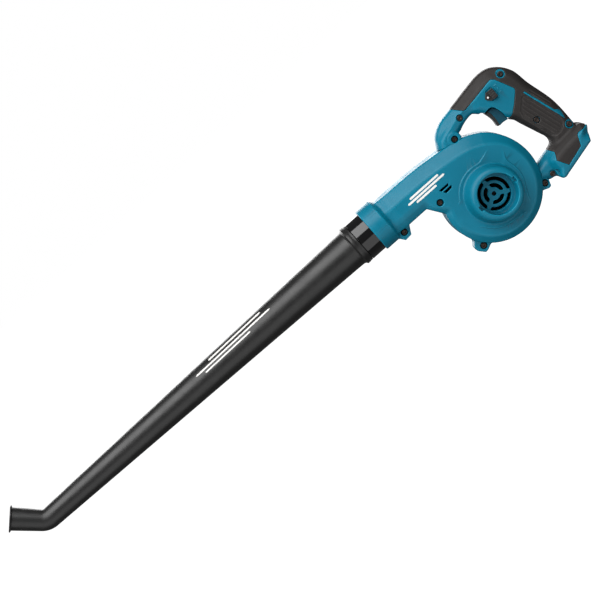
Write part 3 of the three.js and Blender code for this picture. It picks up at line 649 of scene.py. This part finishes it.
def build_grille():
    """A hub and a hoop on three spokes."""
    def form(x, y, z):
        out, angle = about_fan(x, z)
        arm = (angle - math.pi / 2 + math.pi / 3) % (2 * math.pi / 3) - math.pi / 3
        spoke = both(np.abs(arm) * out - SPOKE_HALF, out - (THROAT_RADIUS - 0.4), 0.3)
        hub = slab(out, *HUB_RADII)
        hoop = slab(out, *HOOP_RADII)
        plan = either(either(hub, hoop, 0.2), np.maximum(spoke, 5 - out), 1.6)
        return both(plan, slab(y, GRILLE_LOW[1], GRILLE_HIGH[1]), 0.7)

    obj = net("intake_grille.skin", form, GRILLE_LOW, GRILLE_HIGH, 0.5, 0.5)
    finish(obj, TEAL, "housing_teal", "tool", "intake_grille")


COVER_SLOTS = 12
SLOT_RADII = (11, 21)
DISH_RADII = (9.6, 22.5)
POST_RADIUS = 4.6
COVER_WELL_DEPTH = 9.4


def build_motor_cover():
    """A cap with a ring of cooling slots in a shallow dish, a boss inside it, and three screw wells."""
    screws = [centre(name) for name in COVER_SCREWS]
    top = COVER_HIGH[1]

    def form(x, y, z):
        out, angle = about_fan(x, z)
        body = both(out - MOTOR_RADIUS, y - top, 4.5)
        body = both(body, COVER_LOW[1] - y, 0.4)
        hollow = both(out - MOTOR_BORE, y - (top - 2.6), 3)
        body = np.maximum(body, -hollow)
        body = np.minimum(body, np.maximum(out - 9, slab(y, top - 4, top - 0.5)))
        slot = both(off_spoke(angle, COVER_SLOTS, out) - 1.5, slab(out, *SLOT_RADII), 0.8)
        dish = slab(out, *DISH_RADII)
        body = without(body, both(dish, top - 0.8 - y, 0.3), 0.6)
        body = without(body, both(slot, top - 6 - y, 0.2), 0.4)
        for cx, _, cz in screws:
            post = both(disc(x, z, cx, cz, POST_RADIUS), slab(y, COVER_LOW[1], top - 1.5), 0.3)
            body = np.minimum(body, post)
        body = np.maximum(body, out - MOTOR_RADIUS)
        for cx, _, cz in screws:
            well = both(disc(x, z, cx, cz, POST_RADIUS - 0.5), top - COVER_WELL_DEPTH - y, 0.3)
            body = without(body, well, 0.6)
        return body

    obj = net("motor_cover.skin", form, COVER_LOW, COVER_HIGH, 0.8, 0.5)
    finish(obj, TEAL, "housing_teal", "tool", "motor_cover")


build_grille()
build_motor_cover()

# ---- Handle ----
HANDLE = Outline([
    (-119, 18), (-123.2, 47),
    *curve([(-116.4, 58.2), (-110.3, 64.2), (-97, 70.9), (-78.2, 74.5), (-37.4, 82.2), (-22.6, 83.4),
            (-12.4, 81.8), (-4.2, 77.4), (3.6, 70.4), (9.9, 60.2), (12.4, 51), (14.8, 36), (20, 16.7),
            (23.4, 2), (24.9, -14), (24.9, -34)]),
    (24.6, -62), (-26, -74), (-41, -71.5), (-66, -60), (-66, -46),
    *curve([(-42, -45.6), (-30, -42.8), (-19, -40.2), (-13.6, -37.8), (-11.4, -33), (-12, -27.4), (-15, -20),
            (-24.4, 3.8), (-27.8, 12.6), (-35.4, 21)]),
    *curve([(-50, 39.6), (-55, 46), (-59.6, 50.8), (-63, 52.6), (-71.6, 51.6), (-81, 48.6), (-88.5, 44.6)]),
    (-95, 15),
])
DOCK = Outline([
    *curve([(-26.4, -79.4), (-31, -77.6), (-32.6, -70), (-32.6, -58), (-30, -50.4), (-22, -45.6), (-10, -43),
            (12, -41)]),
    *curve([(27.4, -41), (31.6, -44.6), (34.4, -49.8)], 4), (32.8, -52.4), (29.4, -56.2), (24.4, -66.6),
])
SKIN_REGION = Outline([
    (-79.2, 92), (-79.2, 76), (-67.4, 63.6),
    *curve([(-64.5, 63), (-46.5, 66), (-21.5, 70.2), (-17.6, 69.8)], 4),
    *curve([(-14.6, 67.4), (-4.2, 45.4), (-3.6, 42), (-5.4, 39), (-16.6, 28.4)], 4),
    (-26, 20.8), (-31.4, 18.8), (-35, 12), (-40, 0), (-27, -27), (-24.2, -37.6), (-17.6, -47.4), (-23, -56),
    (-15, -69.8), (10.6, -62), *curve([(15.6, -50.4), (18.6, -48), (27, -48.4)], 4), (40, -46.6), (40, 92),
])
TRIGGER_SLOT = Outline([
    (-63, 8), (-63, 43.6),
    *curve([(-50, 43.8), (-43, 45.2), (-38.4, 43.6), (-35.4, 38.4), (-33.4, 30.4), (-33, 24.4),
            (-33.2, 18.4)], 4),
    (-34, 8),
])
PANEL = Outline(curve([(-15, 17.2), (-5, 26.8), (-1.6, 28.4), (1.4, 26), (4.6, 17.6), (13.2, -12),
                       (14.2, -22), (12.6, -28), (7, -32.2), (0, -33), (-4.4, -31), (-7, -24), (-17, 8)]))
ROOM_BACK = -26
ROOM_HALF = 10.6
ROOM_SPAN = (18, 47)
RIB_PITCH = 4.6  # between the raised ribs of the panel
RIB_LEAN = (0.958, 0.287)  # the direction across them
STRIPE = ((2.6, 31), (16.2, -12))  # a line of the shell showing through the skin
STRIPE_HALF = 1.25
RELIEF = ((8.6, 28), (17.2, 0.6))  # a groove in the skin beside it
LEAF = Outline([(14.6, -7.6), (17, -9), (20, -11.4), (21.7, -14), (21.9, -17.4), (20.9, -21.8), (19, -26.6),
                (17.2, -20)], 0.25)
TOP_SCREW = centre("handle_screw_top")
HEEL_SCREW = centre("handle_screw_heel")
GRIP_SCREW = centre("handle_screw_grip")
FOOT_SCREW = centre("handle_screw_foot")
DOCK_SCREW = centre("handle_screw_dock")
DOCK_AXIS = next(m for m in frame["record"]["mounts"] if m["name"] == "battery_face")["axis"]
DOCK_FACE = 70.4  # distance of the battery face below the origin
DOCK_POCKET_HALF = 19
DOCK_POCKET_SPAN = (-36, 2)
RAIL_GROOVE = (22, 25)
OVAL_FLOOR = 19  # of the sunk oval round the dock's screw, out from the mid-plane
BOSS_RADIUS = 9
RING_RADIUS = 5.7
GRIP_WELL_RADIUS = 4.3
BEYOND = 9  # added to a field to keep a cut off the right side


def down_dock(x, z):
    """Distance below the origin, square to the tilted battery face, and along it."""
    return x * DOCK_AXIS[0] + z * DOCK_AXIS[2], -x * DOCK_AXIS[2] + z * DOCK_AXIS[0]


def trigger_room(x, y, z):
    """The hollow inside the handle that the trigger slides back into."""
    return both(x - ROOM_BACK, np.maximum(slab(z, *ROOM_SPAN), np.abs(y) - ROOM_HALF), 0.5)


def handle_form(x, y, z):
    """The outside of the grip and the dock, with the skin on."""
    side = np.abs(y)
    top = step(56, 66, z - 0.04 * x) * (1 - step(-14, 2, x))
    grip = moulded(HANDLE(x, z), side, GRIP_HALF, 7 + 6 * top, 9 + 1.5 * top, 3, 3)
    depth, _ = down_dock(x, z)
    low = step(58, 68, depth)
    dock = moulded(DOCK(x, z), side, DOCK_HALF, 9 - 6 * low, 11 - 8 * low, 3, 3)
    body = either(grip, dock, 4)
    boss = both(disc(x, z, FOOT_SCREW[0], FOOT_SCREW[2], BOSS_RADIUS), side - GRIP_HALF - 0.8, 2.2)
    return either(body, boss, 1.5)


def showing_through(x, z):
    """The stripe, the leaf and two round bosses of the shell that show through the soft skin."""
    stripe = np.minimum(stroke(x, z, *STRIPE, STRIPE_HALF), LEAF(x, z))
    top = disc(x, z, TOP_SCREW[0], TOP_SCREW[2], RING_RADIUS)
    heel = disc(x, z, HEEL_SCREW[0], HEEL_SCREW[2], RING_RADIUS)
    return np.minimum(stripe, np.minimum(top, heel))


def soft_skin(x, y, z):
    """The overmould, with a ribbed panel and a rail round it."""
    whole = handle_form(x, y, z)
    panel = PANEL(x, z)
    across = (x * RIB_LEAN[0] + z * RIB_LEAN[1]) % RIB_PITCH - RIB_PITCH / 2
    rib = 0.35 * step(1.2, 0.4, np.abs(across)) * step(-1.6, -2.8, panel)
    rail = 0.5 * step(1.5, 0.5, np.abs(panel - 0.4))
    form = whole + 0.5 * step(0.2, -0.8, panel) - rib + rail
    form = form + 0.7 * step(0.5, -0.5, stroke(x, z, *RELIEF, 0.9))
    form = both(form, SKIN_REGION(x, z) + SEAM, 0.7)
    form = np.maximum(form, -(whole + SKIN_DEPTH))
    left = np.where(y < 0, 0, BEYOND)
    form = without(form, showing_through(x, z) - SEAM + left, 0.3)
    form = without(form, disc(x, z, GRIP_SCREW[0], GRIP_SCREW[2], GRIP_WELL_RADIUS) + left, 0.5)
    form = np.maximum(form, -trigger_room(x, y, z))
    return np.maximum(form, -(TRIGGER_SLOT(x, z) + SEAM))


def cut_dock(shell, form, x, y, z):
    """Sinks the battery's pocket, with a floor to it, and a rail groove on each side."""
    deep, along = down_dock(x, z)
    pocket = np.maximum(slab(along, *DOCK_POCKET_SPAN), np.abs(y) - DOCK_POCKET_HALF)
    pocket = np.maximum(pocket, DOCK_FACE - 9 - deep)
    shell = np.minimum(shell, np.maximum(pocket - WALL, form + 0.5))
    shell = without(shell, pocket, 0.5)
    groove = np.maximum(slab(np.abs(y), *RAIL_GROOVE), DOCK_FACE - 5 - deep)
    return without(shell, np.maximum(groove, -40 - along), 0.4)


def mark_selector(shell, x, y, z):
    """The lever's shallow window, with a raised dash at each end of its travel and a dot between."""
    window = both(slab(x, PIVOT_X + 1.8, PIVOT_X + 12.6), slab(z, PIVOT_Z - 7.2, PIVOT_Z + 7.2), 1.4)
    shell = without(shell, both(window, y + GRIP_HALF - 0.7, 0.2), 0.4)
    upper = stroke(x, z, (-19.6, 61.6), (-17.6, 61.6), 0.6)
    lower = stroke(x, z, (-19.6, 51.6), (-16.8, 51.6), 0.6)
    marks = np.minimum(np.minimum(upper, lower), disc(x, z, -18.4, 56.8, 1.0))
    return np.minimum(shell, both(marks, slab(y, -GRIP_HALF - 0.45, -GRIP_HALF + 2), 0.2))


def handle_shell(x, y, z):
    """The hard shell: full size where it is bare, and sunk by the skin's thickness under the skin."""
    form = handle_form(x, y, z)
    core = form + SKIN_DEPTH + 2 * SEAM
    bare = both(form, SEAM - SKIN_REGION(x, z), 0.7)
    shell = np.minimum(core, bare)
    inlay = np.maximum(form - 0.05, showing_through(x, z) + SEAM)
    shell = np.where(y < 0, np.minimum(shell, np.maximum(inlay, y + 6)), shell)
    shell = np.maximum(shell, -(form + SKIN_DEPTH + WALL))
    shell = without(shell, TRIGGER_SLOT(x, z), 0.8)
    shell = np.maximum(shell, -trigger_room(x, y, z))
    shell = cut_dock(shell, form, x, y, z)
    shell = mark_selector(shell, x, y, z)
    shell = np.maximum(shell, 0.3 - case_form(x, y, z))
    sx, _, sz = DOCK_SCREW
    oval = both(stroke(x, z, (sx, sz), (sx + 3, sz - 2), 5), y + OVAL_FLOOR, 0.4)
    shell = without(shell, oval, 0.8)
    return screw_wells(shell, x, y, z, HANDLE_SCREWS)


def build_handle():
    for side, name in ((-1, "left"), (1, "right")):
        low = (HANDLE_LOW[0], -DOCK_HALF if side < 0 else 0, HANDLE_LOW[2])
        high = (HANDLE_HIGH[0], 0 if side < 0 else DOCK_HALF, GRIP_HIGH[2])
        shell = net(f"handle_shell_{name}.skin", half_of(handle_shell, side), low, high, 0.8)
        finish(shell, TEAL, "housing_teal", "tool", f"handle_shell_{name}")
        low = (GRIP_LOW[0], low[1], GRIP_LOW[2])
        skin = net(f"grip_overmould_{name}.skin", half_of(soft_skin, side), low, high, 0.7)
        finish(skin, SOFT_BLACK, "soft_grip", "tool", f"grip_overmould_{name}")


build_handle()

# ---- Trigger and selector ----
TRIGGER = Outline([
    *curve([(-32.6, 22.4), (-32.6, 30.4), (-34.6, 38), (-38.8, 43.4)], 4),
    *curve([(-50.4, 42.6), (-48.4, 36.4), (-47.4, 29.6), (-47.8, 23.4), (-48.2, 20.8)], 4),
    (-45, 19.8), (-40, 20.2), (-32.6, 19),
])
TRIGGER_BACK = -31
PAD_X, PAD_Z = -44, 31
PAD_BOW = 0.012
PAD_GROOVE_PITCH = 3.2


def build_trigger():
    """A hard body, and a pad on its front with grooves and a fin that closes the slot above it."""
    half = TRIGGER_HIGH[1]

    def pad_edge(x, z):
        return x - PAD_X + PAD_BOW * (z - PAD_Z) ** 2

    def body(x, y, z):
        form = both(TRIGGER(x, z) + 0.1, np.abs(y) - half, 1.2)
        return both(form, 0.1 - pad_edge(x, z), 0.3)

    def pad(x, y, z):
        form = both(TRIGGER(x, z), np.abs(y) - half - 0.3, 2.6)
        off = np.abs((z - 19) % PAD_GROOVE_PITCH - PAD_GROOVE_PITCH / 2)
        groove = 0.35 * step(0.75, 0.3, off) * step(8.6, 7.4, np.abs(y))
        front = both(form + groove, pad_edge(x, z) + 0.1, 0.3)
        # the fin is black, like the pad, as painted shadow of the gap above the trigger
        fin = both(both(TRIGGER_SLOT(x, z) - 1.2, np.abs(y) - 4, 0.3), slab(z, 40, 46.4), 0.3)
        return np.minimum(front, np.maximum(fin, slab(x, -48.6, -34.8)))

    low = (TRIGGER_LOW[0] - 2, -half, TRIGGER_LOW[2] - 1)
    high = (TRIGGER_BACK, half, TRIGGER_HIGH[2] + 3)
    made = net("trigger.body", body, low, high, 0.5, 0.5)
    # the trigger body takes the darkened teal: painted shade of its recessed side
    finish(made, TEAL_PAINTED_SHADE, "trigger_plastic", "trigger", "trigger")
    # the pad's black also covers the fin, standing in for the shadow in the gap over the trigger
    made = net("trigger.pad", pad, low, high, 0.5, 0.5)
    finish(made, PAD_BLACK, "trigger_plastic", "trigger")


def build_selector():
    """A thin plate with a raised thumb piece."""
    low, high = span("selector_lever")
    face = -GRIP_HALF

    def form(x, y, z):
        dx, dz = x - PIVOT_X, z - PIVOT_Z
        out = np.hypot(dx, dz)
        plate = either(out - 3.6, both(slab(dx, 0, 11.2), np.abs(dz) - 6, 1.2), 1.5)
        plate = both(plate, slab(y, face - 1.8, face - 0.3), 0.4)
        thumb = both(both(slab(dx, 3.2, 11), np.abs(dz) - 6.2, 1.2), slab(y, low[1], face - 1), 0.9)
        ridge = 0.25 * step(0.3, 0.9, np.abs((dz + 1.5) % 3 - 1.5)) * step(low[1] + 1.6, low[1], y)
        return without(np.minimum(plate, thumb + ridge), out - 1.7, 0.2)

    made = net("selector_lever.skin", form, low - (0, 0, 1), high + (0, 0, 1), 0.4, 0.5)
    finish(made, PAD_BLACK, "lever_black", "selector", "selector_lever")


def build_selector_pin():
    """The pin that the lever turns on, with a painted dot on its cap."""
    low, high = span("selector_pin")

    def pin(x, y, z):
        out = disc(x, z, PIVOT_X, PIVOT_Z, 0)
        cap = both(out - 1.9, slab(y, low[1], low[1] + 0.8), 0.3)
        return np.minimum(cap, np.maximum(out - 1.4, slab(y, low[1] + 0.5, high[1])))

    def dot(x, y, z):
        return both(disc(x, z, PIVOT_X, PIVOT_Z, 1.3), slab(y, low[1] - 0.3, low[1] + 0.2), 0.15)

    finish(net("selector_pin.skin", pin, low, high, 0.3), PAD_BLACK, "steel", "tool", "selector_pin")
    made = net("selector_pin.dot", dot, low - 0.3, (high[0], low[1] + 0.2, high[2]), 0.15)
    finish(made, WHITE_PAINT, "steel", "tool")


build_trigger()
build_selector()
build_selector_pin()


# ---- Turned pieces ----
def ringed_mesh(name, rings_of, sharp):
    """A closed mesh over rings of points, each ring joined to the next and the last to the first."""
    count = len(rings_of[0])
    points = np.concatenate([np.array(r) for r in rings_of]) * MM
    faces = []
    for i in range(len(rings_of)):
        a, b = i * count, ((i + 1) % len(rings_of)) * count
        for j in range(count):
            k = (j + 1) % count
            faces.append((a + j, a + k, b + k, b + j))
    mesh = bpy.data.meshes.new(name)
    mesh.from_pydata(points, [], faces)
    mesh.polygons.foreach_set("use_smooth", np.ones(len(mesh.polygons), bool))
    mesh.set_sharp_from_angle(angle=math.radians(sharp))
    mesh.validate()
    return placed(name, mesh)


def turned(name, profile, segments):
    """A closed profile of (along X, radius), turned about the nozzle's axis."""
    angles = np.arange(segments) * 2 * math.pi / segments
    made = [[(x, r * math.cos(a), AXIS_Z + r * math.sin(a)) for a in angles] for x, r in profile]
    return ringed_mesh(name, made, 35)


def corner(a, b, c, radius, steps=4):
    """Points that round the corner b of a profile."""
    a, b, c = np.array(a, float), np.array(b, float), np.array(c, float)
    start = b + (a - b) / np.linalg.norm(a - b) * radius
    end = b + (c - b) / np.linalg.norm(c - b) * radius
    return [tuple((1 - t) ** 2 * start + 2 * t * (1 - t) * b + t * t * end) for t in np.linspace(0, 1, steps)]


def rounded(profile, radius):
    """A closed profile with every corner rounded."""
    points = []
    for before, here, after in zip([profile[-1], *profile], profile, [*profile[1:], profile[0]]):
        points += corner(before, here, after, radius)
    return points


def build_connector():
    """A gloss sleeve: wide in the collar, and narrower where the tube is pushed over it."""
    radius, bore = 26.8, 19.5
    end, shoulder, back = CONNECTOR_LOW[0], -267.3, CONNECTOR_HIGH[0]
    profile = [(end, bore), (end, 21.2), (shoulder, 21.9), (shoulder, radius), (back, radius), (back, 22.5),
               (shoulder + 8, 22.5), (shoulder + 4, bore)]
    obj = turned("nozzle_connector.skin", rounded(profile, 0.6), 128)
    finish(obj, GLOSS_BLACK, "connector_gloss", "nozzle", "nozzle_connector")


TUBE_WALL = 1.6
TUBE_SEGMENTS = 96
MOUTH_X = -267.6  # the end that takes the connector
MOUTH_BORE = 22.6
NECK_X = -280.5  # where the beads end and the long cone starts
BEADS = [(MOUTH_X, 26.0), (-268.3, 26.7), (-271.2, 26.7), (-271.8, 27.2), (-275.4, 27.2), (-276.2, 26.5),
         (-277.2, 25.0), (-278.6, 24.3), (NECK_X, 24.0)]
CONE_RADII = (23.9, 13.4)
BEND_X = -777  # where the axes of the cone and the tip cross
BEND_ANGLE = math.radians(45)
BEND_RADIUS = 16
TIP_LENGTH = 45.7  # from the crossing
TIP_FLARE = 1.2
LIP = [(0.945, 15.4), (0.95, 16.2), (0.96, 16.8), (0.99, 16.8), (1.0, 16.4), (1.0, 13.6), (0.99, 13.2)]


def tube_stations():
    """Places along the tube, outside and then back inside: ((x, z), turn, radius)."""
    reach = BEND_RADIUS * math.tan(BEND_ANGLE / 2)
    neck, end = CONE_RADII
    path = [((x, AXIS_Z), 0.0, r) for x, r in BEADS]
    for share in np.linspace(0.02, 1, 40):
        x = NECK_X + share * (BEND_X + reach - NECK_X)
        path.append(((x, AXIS_Z), 0.0, neck + (end - neck) * share))
    for share in np.linspace(0.1, 1, 10):
        a = BEND_ANGLE * share
        across, rise = BEND_RADIUS * math.sin(a), BEND_RADIUS * (1 - math.cos(a))
        path.append(((BEND_X + reach - across, AXIS_Z + rise), a, end))
    start = np.array(path[-1][0])
    tip = np.array((-math.cos(BEND_ANGLE), math.sin(BEND_ANGLE))) * (TIP_LENGTH - reach)
    for share in np.linspace(0.1, 0.93, 10):
        path.append((tuple(start + tip * share), BEND_ANGLE, end + TIP_FLARE * share))
    inner = [(place, a, r - TUBE_WALL) for place, a, r in reversed(path[len(BEADS) - 1:])]
    path += [(tuple(start + tip * share), BEND_ANGLE, r) for share, r in LIP]
    return [*path, *inner, ((-277, AXIS_Z), 0.0, MOUTH_BORE - 0.1), ((MOUTH_X, AXIS_Z), 0.0, MOUTH_BORE)]


def build_tube():
    """The nozzle is swept along its axis: a long cone, a tight elbow and a short flared tip."""
    angles = np.arange(TUBE_SEGMENTS) * 2 * math.pi / TUBE_SEGMENTS
    made = []
    for (x, z), a, r in tube_stations():
        ux, uz = r * math.sin(a), r * math.cos(a)
        made.append([(x + ux * math.sin(t), r * math.cos(t), z + uz * math.sin(t)) for t in angles])
    obj = ringed_mesh("nozzle_tube.skin", made, 40)
    finish(obj, SATIN_BLACK, "tube_black", "nozzle", "nozzle_tube")
    return obj


build_connector()
TUBE = build_tube()


# ---- Screws ----
HEAD_RADIUS, HEAD_HEIGHT = 3.5, 2.1
SHANK_RADIUS, SCREW_LENGTH = 1.9, 8


def build_screws():
    """One screw, copied to each place and turned a little differently at each."""
    def form(x, y, z):
        """A pan head with a six-lobed socket, at the origin with its top towards -Y."""
        out = np.hypot(x, z)
        head = both(out - HEAD_RADIUS, slab(y, 0, HEAD_HEIGHT), 0.9)
        lobes = out - (1.55 + 0.28 * np.cos(6 * np.arctan2(z, x)))
        head = without(head, np.maximum(lobes, y - 1.2), 0.25)
        return np.minimum(head, np.maximum(out - SHANK_RADIUS, slab(y, 1, SCREW_LENGTH)))

    low, high = (-HEAD_RADIUS, 0, -HEAD_RADIUS), (HEAD_RADIUS, SCREW_LENGTH, HEAD_RADIUS)
    first = net("screw", form, low, high, 0.28, 0.5)
    for name in [*CASE_SCREWS, *HANDLE_SCREWS, *COVER_SCREWS]:
        obj = placed(f"{name}.skin", first.data.copy())
        low, high = span(name)
        place = centre(name)
        if name in COVER_SCREWS:
            obj.location = Vector((place[0], high[1], place[2])) * MM
            obj.rotation_euler = (math.pi, 0, 0)
        else:
            obj.location = Vector((place[0], low[1], place[2])) * MM
        obj.rotation_euler.rotate_axis("Y", 0.7 * place[0])
        finish(obj, SCREW_BLACK, "screw_black", "tool", name)
    bpy.data.objects.remove(first)


build_screws()


# ---- Painted marks: plain bars in place of lettering ----
BAR_ROWS, BAR_COLUMNS = 48, 9
PAINT_TOP, PAINT_FOOT = 0.2, -0.02  # above and just below the surface
DUCT_BARS = [((-188, 28.2), (-142, 28.2)), ((-194, 24.0), (-136, 24.0)), ((-184, 19.8), (-152, 19.8))]
NOZZLE_BARS = [((-500, 43.2), (-414, 45.2)), ((-524, 38.8), (-402, 41.4)), ((-512, 35), (-438, 36.6))]


def bar_plan(start, end, half_width):
    """Points in X and Z over a bar with round ends, row by row along it."""
    start, end = np.array(start, float), np.array(end, float)
    length = np.linalg.norm(end - start)
    along = (end - start) / length
    across = np.array((-along[1], along[0]))
    plan = []
    for u in np.linspace(0, length, BAR_ROWS):
        short = half_width - min(u, length - u)
        width = math.sqrt(max(half_width ** 2 - max(short, 0) ** 2, 0.01))
        plan += [start + along * u + across * width * v for v in np.linspace(-1, 1, BAR_COLUMNS)]
    return plan


def painted_bar(name, target, body, bar, half_width):
    """A thin closed bar of paint, laid on a surface as it is seen from -Y."""
    plan = bar_plan(*bar, half_width)
    points = []
    for lift in (PAINT_TOP, PAINT_FOOT):
        for x, z in plan:
            _, place, normal, _ = target.ray_cast(Vector((x, -80, z)) * MM, Vector((0, 1, 0)))
            points.append(place + normal * lift * MM)
    faces = []
    size, wide = len(plan), BAR_COLUMNS
    for i in range(BAR_ROWS - 1):
        for a in range(i * wide, i * wide + wide - 1):
            faces.append((a, a + 1, a + wide + 1, a + wide))
            faces.append((size + a, size + a + wide, size + a + wide + 1, size + a + 1))
    rim = [i * wide for i in range(BAR_ROWS)] + list(range(size - wide + 1, size))
    rim += [i * wide + wide - 1 for i in range(BAR_ROWS - 2, -1, -1)] + list(range(wide - 2, 0, -1))
    for a, b in zip(rim, rim[1:] + rim[:1]):
        faces.append((a, b, size + b, size + a))
    mesh = bpy.data.meshes.new(name)
    mesh.from_pydata(points, [], faces)
    mesh.validate()
    mesh.update()
    finish(placed(name, mesh), WHITE_PAINT, "connector_gloss", body)


def build_marks():
    duct = bpy.data.objects["fan_case_left.skin"]
    for i, bar in enumerate(DUCT_BARS):
        painted_bar(f"duct_mark_{i + 1}", duct, "tool", bar, 1.3)
    for i, bar in enumerate(NOZZLE_BARS):
        painted_bar(f"nozzle_mark_{i + 1}", TUBE, "nozzle", bar, 0.8)


build_marks()

# ---- CAD pieces that show as they are ----
CARRIED = {
    INNER_BLACK: ["impeller", "trigger_switch", "terminal_block"],
    STEEL: ["motor_can", "front_bearing", "rear_bearing"],
    DARK_STEEL: ["impeller_nut", "motor_shaft"],
    COPPER: ["rotor_core", "terminal_blade_left", "terminal_blade_right"],
    BOARD_GREEN: ["controller_board"],
    SEAL_RUBBER: ["switch_lead_left", "switch_lead_right", "nozzle_seal"],
}
for material, names in CARRIED.items():
    for name in names:
        carried = frame["nodes"][name].data
        carried.materials.clear()
        carried.materials.append(material)

# ---- Camera, floor and light ----
PHOTO_TURN = math.radians(42.0)  # how far the nozzle points down
VIEW_TARGET = Vector((-0.3679, 0, 0.0223))
VIEW_RIGHT, VIEW_UP = -0.0795, 0.0998  # how far the camera stands off the square view, as slopes
VIEW_DISTANCE = 3.8
VIEW_WIDTH = 0.731  # metres across the picture at the target
SENSOR_WIDTH = 36
FLOOR_SIZE, FLOOR_LEVEL = 12, -0.6
WORLD_GLOW = 0.12  # what the object gets from a background that the camera sees as white


def stage_camera():
    right = Vector((math.cos(PHOTO_TURN), 0, -math.sin(PHOTO_TURN)))
    up = Vector((math.sin(PHOTO_TURN), 0, math.cos(PHOTO_TURN)))
    back = (Vector((0, -1, 0)) + VIEW_RIGHT * right + VIEW_UP * up).normalized()
    camera = placed("camera", bpy.data.cameras.new("camera"))
    right = (right - back * right.dot(back)).normalized()
    up = back.cross(right)
    turn = Matrix((right, up, back)).transposed().to_4x4()
    camera.matrix_world = Matrix.Translation(VIEW_TARGET + back * VIEW_DISTANCE) @ turn
    camera.data.lens = SENSOR_WIDTH * VIEW_DISTANCE / VIEW_WIDTH
    bpy.context.scene.camera = camera


def softbox(name, place, aim, width, height, power):
    light = bpy.data.lights.new(name, "AREA")
    light.shape = "RECTANGLE"
    light.size, light.size_y = width, height
    light.energy = power
    obj = placed(name, light)
    obj.location = place
    obj.rotation_euler = (Vector(aim) - Vector(place)).to_track_quat("-Z", "Y").to_euler()
    obj.visible_camera = False


def stage_floor():
    mesh = bpy.data.meshes.new("floor")
    corners = [(FLOOR_SIZE * i, FLOOR_SIZE * j, FLOOR_LEVEL) for i, j in ((-1, -1), (1, -1), (1, 1), (-1, 1))]
    mesh.from_pydata(corners, [], [(0, 1, 2, 3)])
    floor = placed("floor", mesh)
    s = Shader("floor_white")
    s.surface.inputs["Roughness"].default_value = 0.9
    pale = s.mix(s.noise(3), srgb(243, 243, 243), srgb(248, 248, 248))
    s.link(pale, s.surface.inputs["Base Color"])
    s.link(pale, s.surface.inputs["Emission Color"])
    s.surface.inputs["Emission Strength"].default_value = 1.0
    mesh.materials.append(s.material)
    floor.visible_diffuse = False
    floor.visible_glossy = False


def stage_world():
    world = bpy.data.worlds.new("studio")
    bpy.context.scene.world = world
    world.use_nodes = True
    nodes, links = world.node_tree.nodes, world.node_tree.links
    background = nodes["Background"]
    background.inputs["Color"].default_value = (1, 1, 1, 1)
    seen = nodes.new("ShaderNodeLightPath").outputs["Is Camera Ray"]
    strength = nodes.new("ShaderNodeMapRange")
    strength.inputs["To Min"].default_value = WORLD_GLOW
    strength.inputs["To Max"].default_value = 1.0
    links.new(seen, strength.inputs["Value"])
    links.new(strength.outputs["Result"], background.inputs["Strength"])


stage_camera()
stage_floor()
stage_world()
softbox("key", (-0.6, -1.25, 1.78), (-0.3, 0, 0), 3.0, 1.9, 84)
softbox("side", (-2.2, -1.2, 0.9), (-0.3, 0, 0), 1.0, 1.0, 10)
softbox("back", (-0.6, 2.3, 0.7), (-0.35, 0, 0), 3.0, 1.4, 55)
softbox("bounce", (-0.4, -0.75, -0.55), (-0.35, 0, 0), 3.0, 0.9, 9)
bpy.context.scene.view_settings.view_transform = "Standard"
